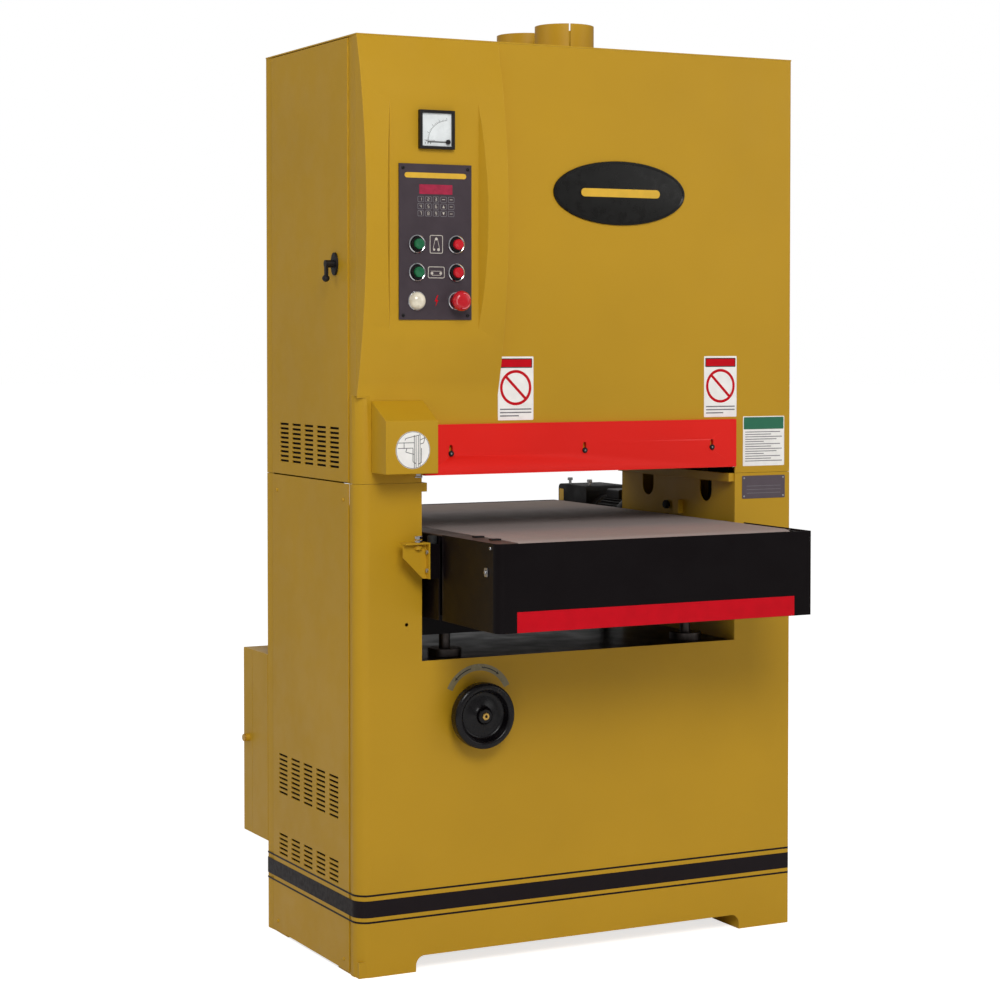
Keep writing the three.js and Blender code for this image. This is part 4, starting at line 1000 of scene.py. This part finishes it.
def gearmotor():
    """The feed gearmotor: reducer box with bolted lid, round flange, finned motor and fan cowl."""
    low, high = MOTOR_LOW, MOTOR_HIGH
    x0, x1 = 384, high.x
    middle = (x0 + x1) / 2
    axle = (500, 866)
    box = Piece("gearmotor_box")
    outline = rounded(424, high.y, 806, 958, 12, 6)
    box.prism(outline, "x", x0, x1)
    box.lathe([(12.5, low.x), (44, low.x), (44, x0 + 1), (12.5, x0 + 1), (12.5, low.x)], "x", axle, 48)
    box.prism(rounded(434, high.y - 10, 816, 948, 9, 6), "x", x1 - 0.1, x1 + 2.4)
    box.done(CAST_BLACK, "bed", 1.6, ["bed_gearmotor"])
    bolts = Piece("gearmotor_bolts")
    for y, z in ((444, 826), (444, 938), (high.y - 20, 826), (high.y - 20, 938)):
        bolts.lathe([(5, x1 + 2.4), (5, x1 + 5.4), (4.2, x1 + 6.2), (0, x1 + 6.2)], "x", (y, z), 6)
    for x, y in ((x0 + 22, 446), (x0 + 22, 546)):
        bolts.lathe([(4, 957), (4, 966), (7.5, 966.2), (7.5, 972), (6, 973), (0, 973)], "z", (x, y), 6)
    bolts.done(STEEL, "bed")
    sticker = Piece("gearmotor_sticker")
    sticker.prism(rounded(high.y - 28, high.y - 6, 905, 945, 3), "x", x0 - 0.05, x0 - 0.5)
    sticker.done(PRINT_GOLD, "bed")
    shell = Piece("gearmotor_motor")
    body, shaft_z = [(0, 280), (50, 280), (50, 398), (55, 402), (55, 424.5), (0, 424.5)], 882
    shell.lathe(body, "y", (middle, shaft_z), 48)
    fins = 36
    for fin in range(fins):
        turn = math.radians(360 * fin / fins)
        inner = (middle + 49 * math.cos(turn), shaft_z + 49 * math.sin(turn))
        outer = (middle + 55.5 * math.cos(turn), shaft_z + 55.5 * math.sin(turn))
        shell.prism(stroke(inner, outer, 2.2), "y", 292, 392)
    shell.done(CAST_BLACK, "bed", 0.4)
    cowl = Piece("gearmotor_cowl")
    cowl.lathe([(0, 268.5), (12, 268), (44, 270), (52, 275), (55.5, 282), (56, 296), (54.6, 296),
                (54, 282), (0, 281)], "y", (middle, shaft_z), 64)
    cowl.done(PLASTIC, "bed")
    box_top = Piece("gearmotor_terminal_box")
    box_top.prism(rounded(middle - 26, middle + 26, shaft_z + 46, shaft_z + 72, 5), "y", 318, 378)
    box_top.done(PLASTIC, "bed", 1.5)


# ---------------------------------------------------------------- handwheel
def handwheel():
    """A dished handwheel with a rounded rim, brass hub nut and a crank hole."""
    face = WHEEL_LOW.y
    rim = (WHEEL_HIGH.x - WHEEL_LOW.x) / 2
    dish = eased([(15.6, face + 3), (17, face + 10), (24, face + 14), (40, face + 17.5), (48, face + 16),
                  (52, face + 9), (55, face + 2.4), (59, face), (65, face + 0.8), (rim - 0.6, face + 4),
                  (rim, face + 10), (rim, face + 22), (rim - 1.5, face + 27), (rim - 7, face + 29.6),
                  (48, face + 30)], 6)
    back = [(30, face + 26), (20, face + 27), (18, face + 30), (18, face + 42), (10.3, face + 44)]
    profile = [(0, face + 1), (13.6, face + 1)] + dish + back + [(10.3, WHEEL_HIGH.y), (0, WHEEL_HIGH.y)]
    wheel = Piece("handwheel_body")
    wheel.lathe(profile, "y", WHEEL, 112)
    wheel.done(GLOSS_BLACK, "handwheel", 0, ["handwheel"])
    hub = Piece("handwheel_hub_nut")
    hub.lathe([(2.8, face + 0.9), (7.4, face + 0.9), (7.8, face - 0.6), (6.6, face - 1.8), (3.4, face - 1.8),
               (2.8, face - 1.2), (2.8, face + 0.9)], "y", WHEEL, 40)
    hub.done(BRASS, "handwheel")
    turn = math.radians(59)
    hole = (WHEEL[0] + 61 * math.cos(turn), WHEEL[1] + 61 * math.sin(turn))
    socket = Piece("handwheel_crank_socket")
    socket.lathe([(3.2, face + 2), (4.6, face + 0.6), (4.4, face - 0.4), (3.4, face - 0.4), (3.0, face + 0.6),
                  (3.2, face + 2)], "y", hole, 28)
    socket.done(DARK_STEEL, "handwheel")


def arc_label():
    """A grey foil arc over the handwheel, with an arrow for each way to turn it."""
    centre, inner, outer = (WHEEL[0] + 7, WHEEL[1] + 23.6), 66.5, 80.5
    label = Piece("handwheel_arc_label")
    foil = arc(centre, outer, 24, 156, 48) + arc(centre, inner, 156, 24, 48)
    label.prism(foil, "y", FRONT - 0.05, FRONT - 0.4)
    label.done(ARC_FOIL)
    arrows = Piece("handwheel_arrows")
    for start, end in ((104, 134), (84, 54)):
        line = arc(centre, 74.6, start, end, 12) + arc(centre, 72.2, end, start, 12)
        arrows.prism(line, "y", FRONT - 0.4, FRONT - 0.6)
        tip = arc(centre, 73.4, end + (5 if end > start else -5), end, 1)[0]
        low_side, high_side = arc(centre, 70, end, end, 1)[0], arc(centre, 76.8, end, end, 1)[0]
        arrows.prism([tip, low_side, high_side], "y", FRONT - 0.4, FRONT - 0.6)
    arrows.done(PRINT_BLACK)


# ---------------------------------------------------------------- sanding head and rear
def smooth_rollers():
    """Round parts inside the head, turned fine: drum, tension roller and pressure rollers."""
    low, high = corners("contact_drum")
    drum = Piece("contact_drum_rubber")
    axle = (0, (low.z + high.z) / 2)
    drum.lathe([(17.5, -320), (68, -320.5), (70, -318.5), (70, 318.5), (68, 320.5), (17.5, 320)],
               "x", axle, 96)
    drum.done(RUBBER, "contact_drum", 0, ["contact_drum"])
    shaft = Piece("contact_drum_shaft")
    grooves = [(17.5, 430), (58, 430)]
    for groove in range(4):
        station = 434 + 13 * groove
        grooves += [(60, station), (60, station + 2), (51, station + 5), (51, station + 7),
                    (60, station + 10)]
    shaft.lathe([(0, low.x), (16.5, low.x), (17.5, low.x + 1)] + grooves
                + [(60, 489), (58, 490), (17.5, 490), (17.5, high.x - 1), (16.5, high.x), (0, high.x)],
                "x", axle, 64)
    shaft.done(STEEL, "contact_drum")
    low, high = corners("tension_roller")
    tension = Piece("tension_roller_tube")
    tension.lathe([(0, low.x), (11, low.x), (12, low.x + 1), (12, -317.5), (48, -317.5), (50, -315.5),
                   (50, 315.5), (48, 317.5), (12, 317.5), (12, high.x - 1), (11, high.x), (0, high.x)],
                  "x", (0, (low.z + high.z) / 2), 80)
    tension.done(STEEL, "tension_roller", 0, ["tension_roller"])
    for name in ("pressure_roller_front", "pressure_roller_rear"):
        low, high = corners(name)
        roller = Piece(f"{name}_tube")
        roller.lathe([(0, low.x), (8, low.x), (8, -320), (18, -320), (19, -319), (19, 319),
                      (18, 320), (8, 320), (8, high.x), (0, high.x)], "x",
                     ((low.y + high.y) / 2, (low.z + high.z) / 2), 56)
        roller.done(STEEL, name, 0, [name])


def sanding_belt():
    """The endless sanding belt, smooth round the drum and the tension roller."""
    low, high = corners("sanding_belt")
    lower, upper = (high.y - low.y) / 2, 52.5
    z0, z1 = low.z + lower, high.z - upper
    lean = math.degrees(math.asin((lower - upper) / (z1 - z0)))

    def loop(shrink):
        return (arc((0, z1), upper - shrink, lean, 180 - lean, 40)
                + arc((0, z0), lower - shrink, 180 - lean, 360 + lean, 56))

    belt = Piece("sanding_belt_cloth")
    belt.band(loop(0), loop(1.4), "x", low.x, high.x)
    belt.done(GRIT, "cabinet", 0, ["sanding_belt"])


def rear_details():
    """The electrical box's latch, hinge barrels and gland."""
    latch = Piece("box_latch")
    x = BOX_LOW.x + 10
    latch.lathe([(0, x - 14), (7.4, x - 14), (8.4, x - 12.6), (8.4, x - 9.8), (6, x - 9.6),
                 (0, x - 9.6)], "x", (366, 412), 36)
    latch.done(BRASS, "electrical_box_door")
    hinges = Piece("box_hinges")
    seam = corners("electrical_box")[1].y
    for z in (270, 540):
        hinges.lathe([(0, z - 24), (4.6, z - 24), (5, z - 23), (5, z + 23), (4.6, z + 24), (0, z + 24)], "z",
                     (-127.6, seam), 24)
    hinges.done(MUSTARD)
    gland = Piece("box_gland")
    low = corners("electrical_box")[0]
    gland.lathe([(0, low.z), (17, low.z), (17, low.z - 5), (14, low.z - 6), (14, low.z - 16),
                 (11, low.z - 20), (6.5, low.z - 21), (6.5, low.z - 14), (0, low.z - 14)], "z",
                (-420, 300), 32)
    gland.done(PLASTIC)


# ---------------------------------------------------------------- stage
CAMERA_PLACE = Vector((-2.5165, -4.752, 1.3309))
CAMERA_TURN = 27.20
CAMERA_DROP = 1.775
CAMERA_LENS = 86.17
CAMERA_SHIFT = -0.09
FLOOR_GLOW = 0.72
SKY_LEVEL = 0.34
# Each light's name, place, width in metres and power in watts.
LIGHTS = (
    ("key", (-1.6, -5.0, 4.2), 2.6, 170), ("fill", (4.2, -4.0, 2.6), 3.2, 30),
    ("side", (-5.0, 0.6, 3.2), 3.0, 32), ("back", (1.0, 4.6, 4.0), 3.6, 22),
)


def add_camera():
    """A long lens at standing height, front left of the machine."""
    data = bpy.data.cameras.new("camera")
    data.lens = CAMERA_LENS
    data.sensor_width = 36
    data.shift_y = CAMERA_SHIFT
    camera = bpy.data.objects.new("camera", data)
    bpy.context.scene.collection.objects.link(camera)
    camera.location = CAMERA_PLACE
    camera.rotation_euler = (math.radians(90 - CAMERA_DROP), 0, math.radians(-CAMERA_TURN))
    bpy.context.scene.camera = camera


def area_light(name, place, size, power, target=(0, 0, 1.0)):
    """A round light turned to the machine's middle."""
    data = bpy.data.lights.new(name, "AREA")
    data.shape = "DISK"
    data.size = size
    data.energy = power
    light = bpy.data.objects.new(name, data)
    bpy.context.scene.collection.objects.link(light)
    light.location = place
    light.rotation_euler = (Vector(target) - Vector(place)).to_track_quat("-Z", "Y").to_euler()


def add_floor():
    """A pale floor, bright enough to the eye to meet the sky without a line."""
    bm = bmesh.new()
    bmesh.ops.create_circle(bm, cap_ends=True, radius=60, segments=96)
    mesh = bpy.data.meshes.new("floor")
    bm.to_mesh(mesh)
    bm.free()
    floor = bpy.data.objects.new("floor", mesh)
    bpy.context.scene.collection.objects.link(floor)
    ground = Finish("pale_floor", linear(240, 240, 239), 0.85)
    ground.mottled(0.6, 0.99, 1.01).rough(0.8, 0.9, 2.0)
    seen = ground.add("ShaderNodeLightPath").outputs["Is Camera Ray"]
    glow = ground.ranged(seen, 0.0, FLOOR_GLOW, 0.0, 1.0)
    ground.tree.links.new(glow, ground.shader.inputs["Emission Strength"])
    ground.set("Emission Color", (1, 1, 1, 1))
    mesh.materials.append(ground.material)


def add_sky():
    """A sky that is white to the eye and dimmer as a light, with the lights under it."""
    world = bpy.data.worlds.new("studio")
    bpy.context.scene.world = world
    world.use_nodes = True
    tree = world.node_tree
    background = tree.nodes["Background"]
    background.inputs["Color"].default_value = (1, 1, 1, 1)
    seen = tree.nodes.new("ShaderNodeLightPath").outputs["Is Camera Ray"]
    level = tree.nodes.new("ShaderNodeMapRange")
    level.inputs["To Min"].default_value = SKY_LEVEL
    level.inputs["To Max"].default_value = 1.0
    tree.links.new(seen, level.inputs["Value"])
    tree.links.new(level.outputs["Result"], background.inputs["Strength"])

    for name, place, size, power in LIGHTS:
        area_light(name, place, size, power)
    bpy.context.scene.view_settings.view_transform = "Standard"


# ---------------------------------------------------------------- build
add_camera()
add_floor()
add_sky()
for name, finish, width in DRESSED:
    dress(name, finish, width)
base_stripes()
panel_screws()
right_louvers()
louver_shade_sheets()
dust_collars()
badge()
warning_card("left", -208, 1152)
warning_card("right", 304.5, 1151)
rule_card()
name_plate()
strip_screws()
gauge_sticker()
plunger()
push_buttons()
emergency_stop()
pilot_lamp()
keypad()
panel_graphics()
ammeter()
conveyor()
bed_edges()
stop_panel_details()
anvil()
column_tab()
gearmotor()
handwheel()
arc_label()
smooth_rollers()
sanding_belt()
rear_details()
